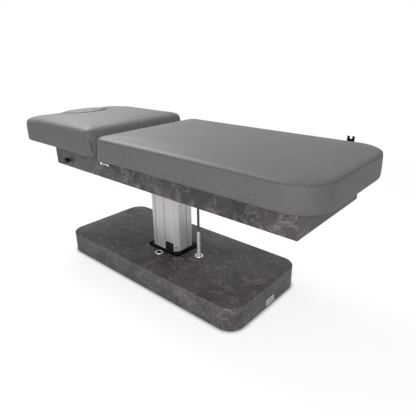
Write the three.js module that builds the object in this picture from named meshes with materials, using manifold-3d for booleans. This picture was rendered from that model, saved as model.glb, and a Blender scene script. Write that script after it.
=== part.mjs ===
// Spa couch: a laminated plinth carries a three stage lifting column, and the column carries a
// laminated frame with a fixed main mattress and a head section that a gas spring raises.
// Millimetres, +Z up. The origin is on the floor under the middle of the couch's length.
// +X points to the foot end and -Y to the near long side, where the controls are.
// Places along X are given from the middle of the column, and the whole couch is moved at the end.

import * as THREE from 'three';
import { mergeVertices } from 'three/addons/utils/BufferGeometryUtils.js';
import Module from 'manifold-3d';

const wasm = await Module();
wasm.setup();

// Fits and cutting allowances
const fitGap = 0.3;
const softGap = 2;
const cutOverrun = 4;
const weldSink = 0.6;

// How finely round shapes are divided
const roundSides = 24;
const smallSides = 16;
const cornerSteps = 12;
const filletSteps = 3;
const ovalSides = 40;

// Plinth
const plinthLength = 1300;
const plinthWidth = 570;
const plinthHeight = 118;
const plinthCorner = 85;
const plinthMiddleX = 6;
const plinthLift = 6;
const plinthBoard = 18;
const plinthArris = 1.6;
const steelPlateThickness = 10;
const steelPlateRecess = 2;

// Levelling feet, set in from the plinth's ends and sides
const footInsetX = 44;
const footInsetY = 41;
const footPadRadius = 20;
const footPadEdge = 3.2;
const footNeckRadius = 6;
const footStudRadius = 5;
const footStudRise = 24;

// Steel box that stands under the column and carries its load to the steel plate
const anchorWidth = 120;
const anchorWall = 6;

// Column foot plate
const footPlateLength = 242;
const footPlateWidth = 176;
const footPlateThickness = 10;
const footPlateCorner = 14;
const footPlateBoltInset = 12;
const footPlateBoltRadius = 7;
const footPlateBoltHeight = 5;

// Lifting column: three aluminium extrusions, each with cut corners, that slide in one another
const columnLength = 206;
const columnWidth = 161;
const columnCutX = 30;
const columnCutY = 32;
const columnWall = 5;
const innerWall = 4;
const stageGap = 1.5;
const outerStageLength = 400;
const stageStep = 6;
const middleStageRise = 18;
const grooveWidth = 3;
const grooveDepth = 2.2;
const edgeGroove = 50;
const faceGroove = 21;
const endGroove = 8;
const columnScrewRadius = 4.5;
const columnScrewThickness = 3;
const columnScrewHeight = 24;
const collarThickness = 5;
const collarStep = 0.5;

// Cable plug that stands on the foot plate against the column
const plugLength = 50;
const plugDepth = 9.6;
const plugHeight = 52;
const plugOffset = 54;
const plugSlopeShare = 0.45;
const plugLipShare = 0.6;

// Lifting drive inside the column
const driveTubeRadius = 20;
const driveTubeBore = 17;
const driveTubeLength = 296;
const driveSleeveBore = 13;
const driveSleeveStep = 16;
const driveScrewRadius = 12.7;
const driveScrewStep = 36;
const driveMotorRadius = 36;
const driveMotorLength = 92;
const driveGearboxLength = 104;
const driveGearboxWidth = 86;
const driveGearboxHeight = 40;

// Cable ports in the plinth's top, and the telescopic cable tube that rises from one of them
const portOuterRadius = 24.5;
const portBore = 15;
const portSleeveRadius = 18.5;
const portFlange = 3;
const portSleeveDepth = 14;
const cablePortY = -114;
const conduitX = 199;
const conduitLowerRadius = 9.4;
const conduitLowerWall = 1.1;
const conduitMiddleWall = 0.9;
const conduitUpperWall = 1.2;
const conduitLowerTop = 273;
const conduitTaper = 12;
const conduitTopLip = 1.4;
const conduitMiddleStep = 18;
const conduitUpperStep = 40;
const conduitSocketRadius = 22;
const conduitSocketHeight = 14;
const conduitFlangeRadius = 20;
const conduitFlangeThickness = 4;

// Fittings on and in the plinth
const labelLength = 66;
const labelHeight = 34;
const labelThickness = 1.5;
const labelCorner = 3;
const labelY = 15;
const labelZ = 33;
const inletInset = 165;
const inletZ = 58;
const inletWidth = 46;
const inletHeight = 28;
const inletFlange = 2.5;
const inletBodyWidth = 31;
const inletBodyHeight = 23;
const inletBodyDepth = 30;
const inletRecessWidth = 24;
const inletRecessHeight = 16;
const inletRecessDepth = 20;
const inletPinWidth = 2;
const inletPinHeight = 4;
const inletPinLength = 9;
const inletPinSpacing = 7;
const supplyLength = 240;
const supplyWidth = 110;
const supplyHeight = 56;
const supplyX = 390;
const supplyCorner = 6;
const supplyRibs = 7;
const supplyRibWidth = 4;
const supplyRibHeight = 5;

// Laminated frame under the mattress
const frameHeadX = -683;
const frameFootX = 917;
const frameWidth = 540;
const frameRise = 24;
const frameHeight = 124;
const panelThickness = 18;

// Steel chassis inside the frame
const railWidth = 25;
const railHeight = 100;
const railWall = 3;
const crossWidth = 40;
const crossHeight = 60;
const columnCrossOffset = 75;
const footCrossX = 600;
const headCrossHeight = 50;
const headCrossDrop = 19;
const headCrossBack = 28;
const headPlateHeadX = -125;
const headPlateFootX = 228;
const headPlateWidth = 180;
const headPlateThickness = 8;
const headPlateCableHole = 7;

// Upholstery boards and cushions
const boardThickness = 15;
const boardInset = 14;
const mainHeadX = -183;
const mainFootX = 1019;
const mainHalfWidth = 357;
const mainHeadCorner = 64;
const mainFootCorner = 155;
const mainSeamRise = 107;
const mainTopRise = 130;
const mainCrown = 10;
const mainEdgeRun = 50;
const headFootX = -191;
const headHeadX = -945;
const headHalfWidth = 346;
const headHeadCorner = 112;
const headFootCorner = 46;
const headEdgeRise = 117;
const headTopRise = 149;
const headCrown = 5;
const headEdgeRun = 52;
const headTaper = 15;
const headTaperLength = 280;
const headLeanShare = 0.26;
const mainLeanShare = 0.18;
const leanLength = 130;
const cushionFoot = 12;
const cushionBulge = 3;
const cushionPull = 4;

// The cushion wall's rings above the rounded foot: how high each is as a share of the seam's
// height, and how far it is drawn in as a share of the swell
const wallRiseShares = [0.42, 0.72, 1];
const wallInsetShares = [0, 0.2, 1];
const footRoundShare = 0.35;

// Face opening in the head section, closed by a loose plug
const faceCentreX = -761;
const faceHalfLength = 113;
const faceHalfWidth = 135;
const facePower = 2.5;
const faceFlare = 16;
const faceBoardRim = 16;
const plugCrown = 5;
const plugEdge = 16;
const plugStand = 9;

// The opening's wall opens out towards the top, and the plug's top edge is rounded in rings
const faceFlareShares = [0, 0.35, 0.7, 1, 1.6];
const plugInsetShares = [0, 0.14, 0.5, 1.2];
const plugDropShares = [1, 0.62, 0.2, 0];

// Head section's pivot and steel arms
const pivotX = -190;
const pivotDrop = 11;
const pivotRadius = 6;
const pivotSeat = 9;
const armInset = 36.7;
const armWidth = 12;
const armHeight = 23.4;
const armLength = 368;
const armEyeRadius = 10.4;
const armCrossLength = 30;

// Gas spring between the chassis and the head section
const springFootBack = 62;
const springFootDrop = 39;
const springHeadBack = 288;
const springHeadDrop = 31;
const springTubeRadius = 11;
const springTubeLength = 148;
const springRodRadius = 4;
const springEyeRadius = 10;
const springHeadEyeRadius = 11.5;
const springPinRadius = 4;
const springPinPlay = 3.6;
const springEyeWidth = 14;
const lugThickness = 4;
const lugMargin = 7;

// Clamping knob on the near panel
const knobInset = 136;
const knobRise = 40;
const knobStudRadius = 4;
const knobNeckRadius = 8;
const knobNeckLength = 8;
const knobLobeMean = 15;
const knobLobeSwing = 3.6;
const knobLobes = 3;
const knobLength = 19;
const knobRound = 3.5;

// Release lever on the near panel
const leverX = -213;
const leverDrop = 40;
const leverSpindleRadius = 4.5;
const leverHubRadius = 7.5;
const leverHubLength = 14;
const leverArmRadius = 3.6;
const leverArmLength = 58;
const leverBallRadius = 7.6;

// Forked hanger on the far panel
const hangerInset = 97;
const hangerWidth = 34;
const hangerThickness = 3;
const hangerStandOff = 4;
const hangerReach = 130;
const hangerFootRise = 38;
const hangerBendDrop = 14;
const hangerSlotWidth = 12;
const hangerSlotDepth = 12;

// Heights and places that follow from the sizes above
const plinthTop = plinthLift + plinthHeight;
const inletY = plinthWidth / 2 - inletInset;
const plinthHeadX = plinthMiddleX - plinthLength / 2;
const plinthFootX = plinthMiddleX + plinthLength / 2;
const bandTop = plinthTop - plinthBoard;
const steelPlateBottom = plinthLift + steelPlateRecess;
const steelPlateTop = steelPlateBottom + steelPlateThickness;
const footPlateTop = plinthTop + footPlateThickness;
const outerStageTop = footPlateTop + outerStageLength;
const middleStageBottom = footPlateTop + stageStep;
const middleStageTop = outerStageTop + middleStageRise;
const frameBottom = outerStageTop + frameRise;
const frameTop = frameBottom + frameHeight;
const pivotZ = frameTop - pivotDrop;
const knobX = frameHeadX + knobInset;
const knobZ = frameBottom + knobRise;
const leverZ = frameTop - leverDrop;
const hangerX = frameFootX - hangerInset;
const hangerTop = frameTop + hangerReach;
const hangerFootLow = frameBottom + hangerFootRise;
const hangerBend = frameTop - hangerBendDrop;
const crossBottom = frameTop - crossHeight;
const headPlateBottom = crossBottom - headPlateThickness;
const springFootX = pivotX - springFootBack;
const springFootZ = pivotZ - springFootDrop;
const springHeadX = pivotX - springHeadBack;
const springHeadZ = pivotZ - springHeadDrop;
const headCrossX = pivotX - headCrossBack;
const headCrossTop = pivotZ - headCrossDrop;
const panelInnerY = frameWidth / 2 - panelThickness;
const railOuterY = panelInnerY - fitGap;
const railInnerY = railOuterY - railWidth;
const armY = railInnerY - armInset;
const cushionBottom = frameTop + fitGap;
const boardTop = frameTop + boardThickness;
const middleInset = columnWall + stageGap;
const innerInset = middleInset + innerWall + stageGap;

// Materials
const laminate = finish(0x5f5a5e, 0.55, 0);
const laminateDark = finish(0x524d51, 0.6, 0);
const aluminium = finish(0xb8b2b2, 0.38, 0.75);
const blackSteel = finish(0x161415, 0.5, 0.4);
const greySteel = finish(0x4c4c50, 0.5, 0.6);
const chrome = finish(0xdcdcdc, 0.15, 1);
const blackPlastic = finish(0x151314, 0.5, 0);
const rubber = finish(0x0e0d0d, 0.85, 0);
const upholstery = finish(0x8a8688, 0.62, 0);
const plywood = finish(0xa98a62, 0.7, 0);
const platePale = finish(0xb9aab0, 0.35, 0.6);

function finish(colour, roughness, metalness) {
  return new THREE.MeshStandardMaterial({ color: colour, roughness, metalness });
}

// A closed mesh with its shared corners merged, ready to be cut or joined
function solidOf(geometry) {
  const bare = geometry.clone();
  bare.deleteAttribute('normal');
  bare.deleteAttribute('uv');
  const merged = mergeVertices(bare);
  const index = merged.index.array;
  const kept = [];
  for (let start = 0; start < index.length; start += 3) {
    const [a, b, c] = index.slice(start, start + 3);
    if (a !== b && b !== c && c !== a) {
      kept.push(a, b, c);
    }
  }
  return new wasm.Manifold(new wasm.Mesh({
    numProp: 3,
    vertProperties: new Float32Array(merged.attributes.position.array),
    triVerts: new Uint32Array(kept),
  }));
}

function geometryOf(solid) {
  const mesh = solid.getMesh();
  const geometry = new THREE.BufferGeometry();
  geometry.setAttribute('position', new THREE.BufferAttribute(mesh.vertProperties, 3));
  geometry.setIndex(new THREE.BufferAttribute(mesh.triVerts, 1));
  return geometry;
}

function cut(body, ...tools) {
  return geometryOf(tools.reduce((left, tool) => left.subtract(solidOf(tool)), solidOf(body)));
}

function join(body, ...others) {
  return geometryOf(others.reduce((sum, other) => sum.add(solidOf(other)), solidOf(body)));
}

// A box given by its lowest and highest corners
function block(low, high) {
  const size = high.map((value, axis) => value - low[axis]);
  const centre = high.map((value, axis) => (value + low[axis]) / 2);
  return new THREE.BoxGeometry(...size).translate(...centre);
}

// Cylinders along each axis, given by the middle of the low end
function uprightCylinder(radius, length, x, y, lowZ, sides = roundSides) {
  return new THREE.CylinderGeometry(radius, radius, length, sides)
    .rotateX(Math.PI / 2)
    .translate(x, y, lowZ + length / 2);
}

function crosswiseCylinder(radius, length, x, lowY, z, sides = roundSides) {
  return new THREE.CylinderGeometry(radius, radius, length, sides)
    .translate(x, lowY + length / 2, z);
}

// A revolved profile of [radius, height] pairs, stood upright at x, y
function revolved(profile, x, y, sides = roundSides) {
  const points = profile.map(([radius, height]) => new THREE.Vector2(radius, height));
  return new THREE.LatheGeometry(points, sides).rotateX(Math.PI / 2).translate(x, y, 0);
}

// A tube standing upright at x, y
function uprightTube(outer, inner, lowZ, highZ, x, y) {
  const profile = [[inner, lowZ], [outer, lowZ], [outer, highZ], [inner, highZ], [inner, lowZ]];
  return revolved(profile, x, y);
}

// Plan shapes
function roundedRectangle(length, width, radius, x = 0, y = 0) {
  const halfLength = length / 2 - radius;
  const halfWidth = width / 2 - radius;
  const shape = new THREE.Shape();
  shape.absarc(x + halfLength, y - halfWidth, radius, -Math.PI / 2, 0);
  shape.absarc(x + halfLength, y + halfWidth, radius, 0, Math.PI / 2);
  shape.absarc(x - halfLength, y + halfWidth, radius, Math.PI / 2, Math.PI);
  shape.absarc(x - halfLength, y - halfWidth, radius, Math.PI, Math.PI * 3 / 2);
  shape.closePath();
  return shape;
}

function raised(shape, lowZ, highZ, steps = cornerSteps) {
  return new THREE.ExtrudeGeometry(shape, {
    depth: highZ - lowZ,
    bevelEnabled: false,
    curveSegments: steps,
  }).translate(0, 0, lowZ);
}

// A skin stretched over rings of points, closed by a fan at each end
function loft(rings) {
  const count = rings[0].length;
  const positions = rings.flat(2);
  const index = [];
  for (let level = 0; level < rings.length - 1; level += 1) {
    for (let step = 0; step < count; step += 1) {
      const next = (step + 1) % count;
      const low = level * count;
      const high = low + count;
      index.push(low + step, low + next, high + next);
      index.push(low + step, high + next, high + step);
    }
  }
  const middle = (ring) => [0, 1, 2].map((axis) => (
    ring.reduce((sum, point) => sum + point[axis], 0) / count
  ));
  const bottomCentre = positions.length / 3;
  positions.push(...middle(rings[0]));
  const topCentre = bottomCentre + 1;
  positions.push(...middle(rings.at(-1)));
  const topStart = (rings.length - 1) * count;
  for (let step = 0; step < count; step += 1) {
    const next = (step + 1) % count;
    index.push(bottomCentre, next, step);
    index.push(topCentre, topStart + step, topStart + next);
  }
  const geometry = new THREE.BufferGeometry();
  geometry.setAttribute('position', new THREE.Float32BufferAttribute(positions, 3));
  geometry.setIndex(index);
  return geometry;
}

function atHeight(points, height) {
  return points.map(([x, y]) => [x, y, height]);
}

// Smooth step from 0 at one place to 1 at another
function smooth(value, from, to) {
  return THREE.MathUtils.smoothstep((value - from) / (to - from), 0, 1);
}

// The couch as a scene graph: one group for each set of pieces that moves together
const couch = new THREE.Group();
const base = new THREE.Group();
const middleStage = new THREE.Group();
const liftFrame = new THREE.Group();
const headSection = new THREE.Group();
const gasSpring = new THREE.Group();
couch.add(base, middleStage, liftFrame);
liftFrame.add(headSection, gasSpring);

function place(group, name, geometry, material) {
  const mesh = new THREE.Mesh(geometry, material);
  mesh.name = name;
  group.add(mesh);
}

// The plinth's walls are straight boards joined to quarter round corner posts, so that the
// laminate runs round the corners without a break.
function plinthWalls() {
  const straightX = plinthLength / 2 - plinthCorner;
  const straightY = plinthWidth / 2 - plinthCorner;
  const innerY = plinthWidth / 2 - plinthBoard;
  for (const [name, side] of [['near', -1], ['far', 1]]) {
    const ends = [side * innerY, side * plinthWidth / 2].sort((a, b) => a - b);
    const low = [plinthMiddleX - straightX, ends[0], plinthLift];
    const high = [plinthMiddleX + straightX, ends[1], bandTop];
    place(base, `plinth_side_${name}`, block(low, high), laminate);
  }
  for (const [name, side] of [['head', -1], ['foot', 1]]) {
    const faceX = side < 0 ? plinthHeadX : plinthFootX;
    const ends = [faceX, faceX - side * plinthBoard].sort((a, b) => a - b);
    const wall = block([ends[0], -straightY, plinthLift], [ends[1], straightY, bandTop]);
    place(base, `plinth_end_${name}`, side < 0 ? cut(wall, inletHole()) : wall, laminate);
  }
  for (const [endName, endSide] of [['head', -1], ['foot', 1]]) {
    for (const [sideName, side] of [['near', -1], ['far', 1]]) {
      const turn = Math.atan2(side, endSide) - Math.PI / 4;
      const ring = quarterRing(plinthCorner, plinthCorner - plinthBoard);
      const post = raised(ring, plinthLift, bandTop)
        .rotateZ(turn)
        .translate(plinthMiddleX + endSide * straightX, side * straightY, 0);
      place(base, `plinth_corner_${endName}_${sideName}`, post, laminate);
    }
  }
}

function quarterRing(outer, inner) {
  const shape = new THREE.Shape();
  shape.absarc(0, 0, outer, 0, Math.PI / 2);
  shape.absarc(0, 0, inner, Math.PI / 2, 0, true);
  shape.closePath();
  return shape;
}

function inletHole() {
  const reachY = inletBodyWidth / 2 + fitGap;
  const reachZ = inletBodyHeight / 2 + fitGap;
  return block(
    [plinthHeadX - cutOverrun, inletY - reachY, inletZ - reachZ],
    [plinthHeadX + plinthBoard + cutOverrun, inletY + reachY, inletZ + reachZ],
  );
}

// The plinth's top board has its sharp edge taken off and two round holes for the cable ports.
function plinthTopBoard() {
  const outline = roundedRectangle(plinthLength, plinthWidth, plinthCorner, plinthMiddleX);
  const inside = roundedRectangle(
    plinthLength - 2 * plinthArris,
    plinthWidth - 2 * plinthArris,
    plinthCorner - plinthArris,
    plinthMiddleX,
  );
  const edge = planPoints(outline);
  const board = loft([
    atHeight(edge, bandTop),
    atHeight(edge, plinthTop - plinthArris),
    atHeight(planPoints(inside), plinthTop),
  ]);
  const holeDepth = plinthBoard + 2 * cutOverrun;
  const holes = [[0, cablePortY], [conduitX, 0]].map(([x, y]) => (
    uprightCylinder(portSleeveRadius + fitGap, holeDepth, x, y, bandTop - cutOverrun)
  ));
  place(base, 'plinth_top', cut(board, ...holes), laminateDark);
}

// The points of a plan shape, the last one left out where it repeats the first
function planPoints(shape) {
  const points = shape.getPoints(cornerSteps).map((point) => [point.x, point.y]);
  const [first, last] = [points[0], points.at(-1)];
  const closes = Math.hypot(first[0] - last[0], first[1] - last[1]) < fitGap / 2;
  return closes ? points.slice(0, -1) : points;
}

// A steel plate closes the plinth underneath, weighs it down and takes the feet's threads.
function steelPlate() {
  const inset = plinthBoard + fitGap;
  const outline = roundedRectangle(
    plinthLength - 2 * inset,
    plinthWidth - 2 * inset,
    plinthCorner - inset,
    plinthMiddleX,
  );
  const plate = raised(outline, steelPlateBottom, steelPlateTop);
  const socketTop = steelPlateTop + conduitSocketHeight;
  const socket = uprightTube(
    conduitSocketRadius,
    conduitLowerRadius + fitGap,
    steelPlateTop - weldSink,
    socketTop,
    conduitX,
    0,
  );
  const holeRadius = footStudRadius + fitGap;
  const holeLength = steelPlateThickness + 2 * cutOverrun;
  const holes = footPlaces().map(([, x, y]) => (
    uprightCylinder(holeRadius, holeLength, x, y, steelPlateBottom - cutOverrun)
  ));
  place(base, 'steel_base_plate', cut(join(plate, socket), ...holes), blackSteel);
}

function footPlaces() {
  const headX = plinthHeadX + footInsetX;
  const footX = plinthFootX - footInsetX;
  const y = plinthWidth / 2 - footInsetY;
  return [
    ['head_near', headX, -y],
    ['head_far', headX, y],
    ['foot_near', footX, -y],
    ['foot_far', footX, y],
  ];
}

function levellingFeet() {
  const padTop = plinthLift - fitGap;
  const studTop = steelPlateTop + footStudRise;
  const neckTop = steelPlateBottom - fitGap;
  const profile = [
    [0, 0],
    [footPadRadius, 0],
    [footPadRadius, footPadEdge],
    [footNeckRadius, padTop],
    [footNeckRadius, neckTop],
    [footStudRadius, neckTop],
    [footStudRadius, studTop],
    [0, studTop],
  ];
  for (const [name, x, y] of footPlaces()) {
    place(base, `levelling_foot_${name}`, revolved(profile, x, y), rubber);
  }
}

// A length of steel box section under the column
function columnAnchor() {
  const outside = block(
    [-footPlateLength / 2, -anchorWidth / 2, steelPlateTop],
    [footPlateLength / 2, anchorWidth / 2, bandTop],
  );
  const boreX = footPlateLength / 2 + cutOverrun;
  const boreY = anchorWidth / 2 - anchorWall;
  const hollow = block(
    [-boreX, -boreY, steelPlateTop + anchorWall],
    [boreX, boreY, bandTop - anchorWall],
  );
  place(base, 'column_anchor_box', cut(outside, hollow), greySteel);
}

function columnFootPlate() {
  const plate = raised(
    roundedRectangle(footPlateLength, footPlateWidth, footPlateCorner),
    plinthTop,
    footPlateTop,
    filletSteps,
  );
  const boltX = footPlateLength / 2 - footPlateBoltInset;
  const boltY = footPlateWidth / 2 - footPlateBoltInset;
  const hexagonSides = 6;
  const corners = [[-boltX, -boltY], [-boltX, boltY], [boltX, -boltY], [boltX, boltY]];
  const heads = corners.map(([x, y]) => (
    uprightCylinder(
      footPlateBoltRadius,
      footPlateBoltHeight + weldSink,
      x,
      y,
      footPlateTop - weldSink,
      hexagonSides,
    )
  ));
  place(base, 'column_foot_plate', join(plate, ...heads), blackSteel);
}

// Outline of a column stage: a rectangle with its four corners cut off at a slant, drawn in by
// the same distance from every side of the outer stage
function stageOutline(inset) {
  const slant = Math.hypot(columnCutX, columnCutY);
  const shrink = columnCutX + columnCutY - slant;
  const cutX = columnCutX - inset * shrink / columnCutY;
  const cutY = columnCutY - inset * shrink / columnCutX;
  const x = columnLength / 2 - inset;
  const y = columnWidth / 2 - inset;
  const corners = [
    [x - cutX, -y], [x, -y + cutY], [x, y - cutY], [x - cutX, y],
    [-x + cutX, y], [-x, y - cutY], [-x, -y + cutY], [-x + cutX, -y],
  ];
  return new THREE.Shape(corners.map(([px, py]) => new THREE.Vector2(px, py)));
}

function stageTube(outsideInset, boreInset, lowZ, highZ) {
  const shape = stageOutline(outsideInset);
  shape.holes.push(stageOutline(boreInset));
  return raised(shape, lowZ, highZ);
}

// The outer stage has slots along its faces and a button head screw near the foot of each slant.
function outerStage() {
  const tube = stageTube(0, columnWall, footPlateTop, outerStageTop);
  const lowZ = footPlateTop - cutOverrun;
  const highZ = outerStageTop + cutOverrun;
  const reachY = columnWidth / 2 + cutOverrun;
  const reachX = columnLength / 2 + cutOverrun;
  const deepY = columnWidth / 2 - grooveDepth;
  const deepX = columnLength / 2 - grooveDepth;
  const half = grooveWidth / 2;
  const grooves = [
    block([-edgeGroove - half, -reachY, lowZ], [-edgeGroove + half, -deepY, highZ]),
    block([faceGroove - half, -reachY, lowZ], [faceGroove + half, -deepY, highZ]),
    block([edgeGroove - half, deepY, lowZ], [edgeGroove + half, reachY, highZ]),
    block([-faceGroove - half, deepY, lowZ], [-faceGroove + half, reachY, highZ]),
    block([deepX, endGroove - half, lowZ], [reachX, endGroove + half, highZ]),
    block([-reachX, -endGroove - half, lowZ], [-deepX, -endGroove + half, highZ]),
  ];
  const slantX = columnLength / 2 - columnCutX / 2;
  const slantY = columnWidth / 2 - columnCutY / 2;
  const screwZ = footPlateTop + columnScrewHeight;
  const screws = [[1, 1], [1, -1], [-1, 1], [-1, -1]].map(([sideX, sideY]) => (
    new THREE.CylinderGeometry(
      columnScrewRadius,
      columnScrewRadius,
      2 * columnScrewThickness,
      smallSides,
    )
      .rotateZ(-Math.PI / 2)
      .rotateZ(Math.atan2(sideY * columnCutX, sideX * columnCutY))
      .translate(sideX * slantX, sideY * slantY, screwZ)
  ));
  place(base, 'column_outer_stage', join(cut(tube, ...grooves), ...screws), aluminium);
}

function innerStages() {
  const middle = stageTube(middleInset, middleInset + innerWall, middleStageBottom, middleStageTop);
  place(middleStage, 'column_middle_stage', middle, aluminium);
  const inner = stageTube(
    innerInset,
    innerInset + innerWall,
    middleStageBottom + stageStep,
    headPlateBottom,
  );
  place(liftFrame, 'column_inner_stage', inner, aluminium);
}

// A plastic collar on the top of a stage guides the next one in.
function stageCollars() {
  const outer = stageTube(
    collarStep,
    middleInset - fitGap,
    outerStageTop,
    outerStageTop + collarThickness,
  );
  place(base, 'column_lower_collar', outer, blackPlastic);
  const upper = stageTube(
    middleInset + collarStep,
    innerInset - fitGap,
    middleStageTop,
    middleStageTop + collarThickness,
  );
  place(middleStage, 'column_upper_collar', upper, blackPlastic);
}

function columnCablePlug() {
  const backY = -columnWidth / 2 - fitGap;
  const frontY = backY - plugDepth;
  const low = footPlateTop;
  const high = low + plugHeight;
  const shape = new THREE.Shape();
  shape.moveTo(backY, low);
  shape.lineTo(backY, high);
  shape.lineTo(backY - plugDepth * plugSlopeShare, high);
  shape.lineTo(frontY, low + plugHeight * plugLipShare);
  shape.lineTo(frontY, low);
  shape.closePath();
  const plug = new THREE.ExtrudeGeometry(shape, { depth: plugLength, bevelEnabled: false });
  const turned = new THREE.Matrix4().set(
    0, 0, 1, plugOffset - plugLength / 2,
    1, 0, 0, 0,
    0, 1, 0, 0,
    0, 0, 0, 1,
  );
  place(base, 'column_cable_plug', plug.applyMatrix4(turned), blackPlastic);
}

// The drive's screw turns in a sleeve that rises out of a tube, all inside the column.
function liftDrive() {
  const tubeTop = footPlateTop + driveTubeLength;
  const tube = uprightTube(driveTubeRadius, driveTubeBore, footPlateTop, tubeTop, 0, 0);
  place(base, 'drive_tube', tube, greySteel);
  const sleeveBottom = footPlateTop + driveSleeveStep;
  const sleeveTop = tubeTop + driveSleeveStep;
  const sleeve = uprightTube(driveTubeBore - fitGap, driveSleeveBore, sleeveBottom, sleeveTop, 0, 0);
  place(middleStage, 'drive_sleeve', sleeve, greySteel);
  const motorTop = headPlateBottom;
  const gearboxBottom = motorTop - driveGearboxHeight;
  const motorBottom = motorTop - driveMotorLength;
  const screw = uprightCylinder(
    driveScrewRadius,
    motorBottom - sleeveBottom - driveScrewStep,
    0,
    0,
    sleeveBottom + driveScrewStep,
  );
  place(liftFrame, 'drive_screw', screw, greySteel);
  const gearbox = raised(
    roundedRectangle(driveGearboxLength, driveGearboxWidth, footPlateCorner),
    gearboxBottom,
    motorTop,
    filletSteps,
  );
  const motor = uprightCylinder(driveMotorRadius, driveMotorLength - weldSink, 0, 0, motorBottom);
  place(liftFrame, 'drive_motor', join(gearbox, motor), blackPlastic);
}

// Bright metal ports line the two holes in the plinth's top.
function cablePorts() {
  const profile = [
    [portBore, plinthTop - portSleeveDepth],
    [portSleeveRadius, plinthTop - portSleeveDepth],
    [portSleeveRadius, plinthTop],
    [portOuterRadius, plinthTop],
    [portOuterRadius - portFlange / 3, plinthTop + portFlange * 2 / 3],
    [portOuterRadius - portFlange, plinthTop + portFlange],
    [portBore + portFlange / 2, plinthTop + portFlange],
    [portBore, plinthTop + portFlange / 2],
    [portBore, plinthTop - portSleeveDepth],
  ];
  place(base, 'cable_port', revolved(profile, 0, cablePortY), chrome);
  place(base, 'conduit_port', revolved(profile, conduitX, 0), chrome);
}

// The cable tube has three stages, like the column, so that it follows the whole lift.
function conduit() {
  const lowerBore = conduitLowerRadius - conduitLowerWall;
  const middleRadius = lowerBore - fitGap;
  const middleBore = middleRadius - conduitMiddleWall;
  const upperRadius = middleBore - fitGap;
  const upperBore = upperRadius - conduitUpperWall;
  const lowerBottom = steelPlateTop + fitGap;
  const lowerTop = conduitLowerTop - conduitTaper;
  const lower = [
    [lowerBore, lowerBottom],
    [conduitLowerRadius, lowerBottom],
    [conduitLowerRadius, lowerTop - conduitTopLip],
    [conduitLowerRadius - conduitLowerWall / 2, lowerTop],
    [lowerBore, lowerTop],
    [lowerBore, lowerBottom],
  ];
  place(base, 'conduit_lower_tube', revolved(lower, conduitX, 0), chrome);
  const middleBottom = lowerBottom + conduitMiddleStep;
  const middle = [
    [middleBore, middleBottom],
    [middleRadius, middleBottom],
    [middleRadius, conduitLowerTop - conduitTopLip],
    [middleRadius - conduitMiddleWall / 2, conduitLowerTop],
    [middleBore, conduitLowerTop],
    [middleBore, middleBottom],
  ];
  place(middleStage, 'conduit_middle_tube', revolved(middle, conduitX, 0), chrome);
  const flangeTop = headPlateBottom;
  const flangeBottom = flangeTop - conduitFlangeThickness;
  const upper = [
    [upperBore, lowerBottom + conduitUpperStep],
    [upperRadius, lowerBottom + conduitUpperStep],
    [upperRadius, flangeBottom],
    [conduitFlangeRadius, flangeBottom],
    [conduitFlangeRadius, flangeTop],
    [upperBore, flangeTop],
    [upperBore, lowerBottom + conduitUpperStep],
  ];
  place(liftFrame, 'conduit_upper_tube', revolved(upper, conduitX, 0), greySteel);
}

function labelPlate() {
  const shape = roundedRectangle(labelLength, labelHeight, labelCorner);
  const plate = raised(shape, 0, labelThickness, filletSteps);
  const upright = new THREE.Matrix4().set(
    0, 0, 1, plinthFootX,
    1, 0, 0, labelY,
    0, 1, 0, labelZ,
    0, 0, 0, 1,
  );
  place(base, 'label_plate', plate.applyMatrix4(upright), platePale);
}

// The mains inlet has an open recess with three contact pins.
function mainsInlet() {
  const faceX = plinthHeadX;
  const outerX = faceX - inletFlange;
  const across = (width) => [inletY - width / 2, inletY + width / 2];
  const upright = (height) => [inletZ - height / 2, inletZ + height / 2];
  const boxOf = (fromX, toX, width, height) => {
    const [lowY, highY] = across(width);
    const [lowZ, highZ] = upright(height);
    return block([fromX, lowY, lowZ], [toX, highY, highZ]);
  };
  const flange = boxOf(outerX, faceX, inletWidth, inletHeight);
  const body = boxOf(faceX - weldSink, faceX + inletBodyDepth, inletBodyWidth, inletBodyHeight);
  const recess = boxOf(
    outerX - cutOverrun,
    outerX + inletRecessDepth,
    inletRecessWidth,
    inletRecessHeight,
  );
  const pinEndX = outerX + inletRecessDepth - inletPinLength;
  const pinRootX = outerX + inletRecessDepth + weldSink;
  const pins = [-1, 0, 1].map((number) => {
    const pinZ = inletZ + (number === 0 ? inletPinHeight / 2 : -inletPinHeight / 2);
    const pinY = inletY + number * inletPinSpacing;
    return block(
      [pinEndX, pinY - inletPinWidth / 2, pinZ - inletPinHeight / 2],
      [pinRootX, pinY + inletPinWidth / 2, pinZ + inletPinHeight / 2],
    );
  });
  place(base, 'mains_inlet', join(cut(join(flange, body), recess), ...pins), blackPlastic);
}

// The power supply is a ribbed box on the steel plate.
function powerSupply() {
  const box = raised(
    roundedRectangle(supplyLength, supplyWidth, supplyCorner, supplyX, 0),
    steelPlateTop,
    steelPlateTop + supplyHeight,
    filletSteps,
  );
  const pitch = supplyLength / (supplyRibs + 1);
  const ribHalf = supplyWidth / 2 - supplyCorner;
  const ribLow = steelPlateTop + supplyHeight - weldSink;
  const ribHigh = steelPlateTop + supplyHeight + supplyRibHeight;
  const ribs = Array.from({ length: supplyRibs }, (_, number) => {
    const x = supplyX - supplyLength / 2 + pitch * (number + 1);
    return block(
      [x - supplyRibWidth / 2, -ribHalf, ribLow],
      [x + supplyRibWidth / 2, ribHalf, ribHigh],
    );
  });
  place(base, 'power_supply', join(box, ...ribs), blackPlastic);
}

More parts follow.
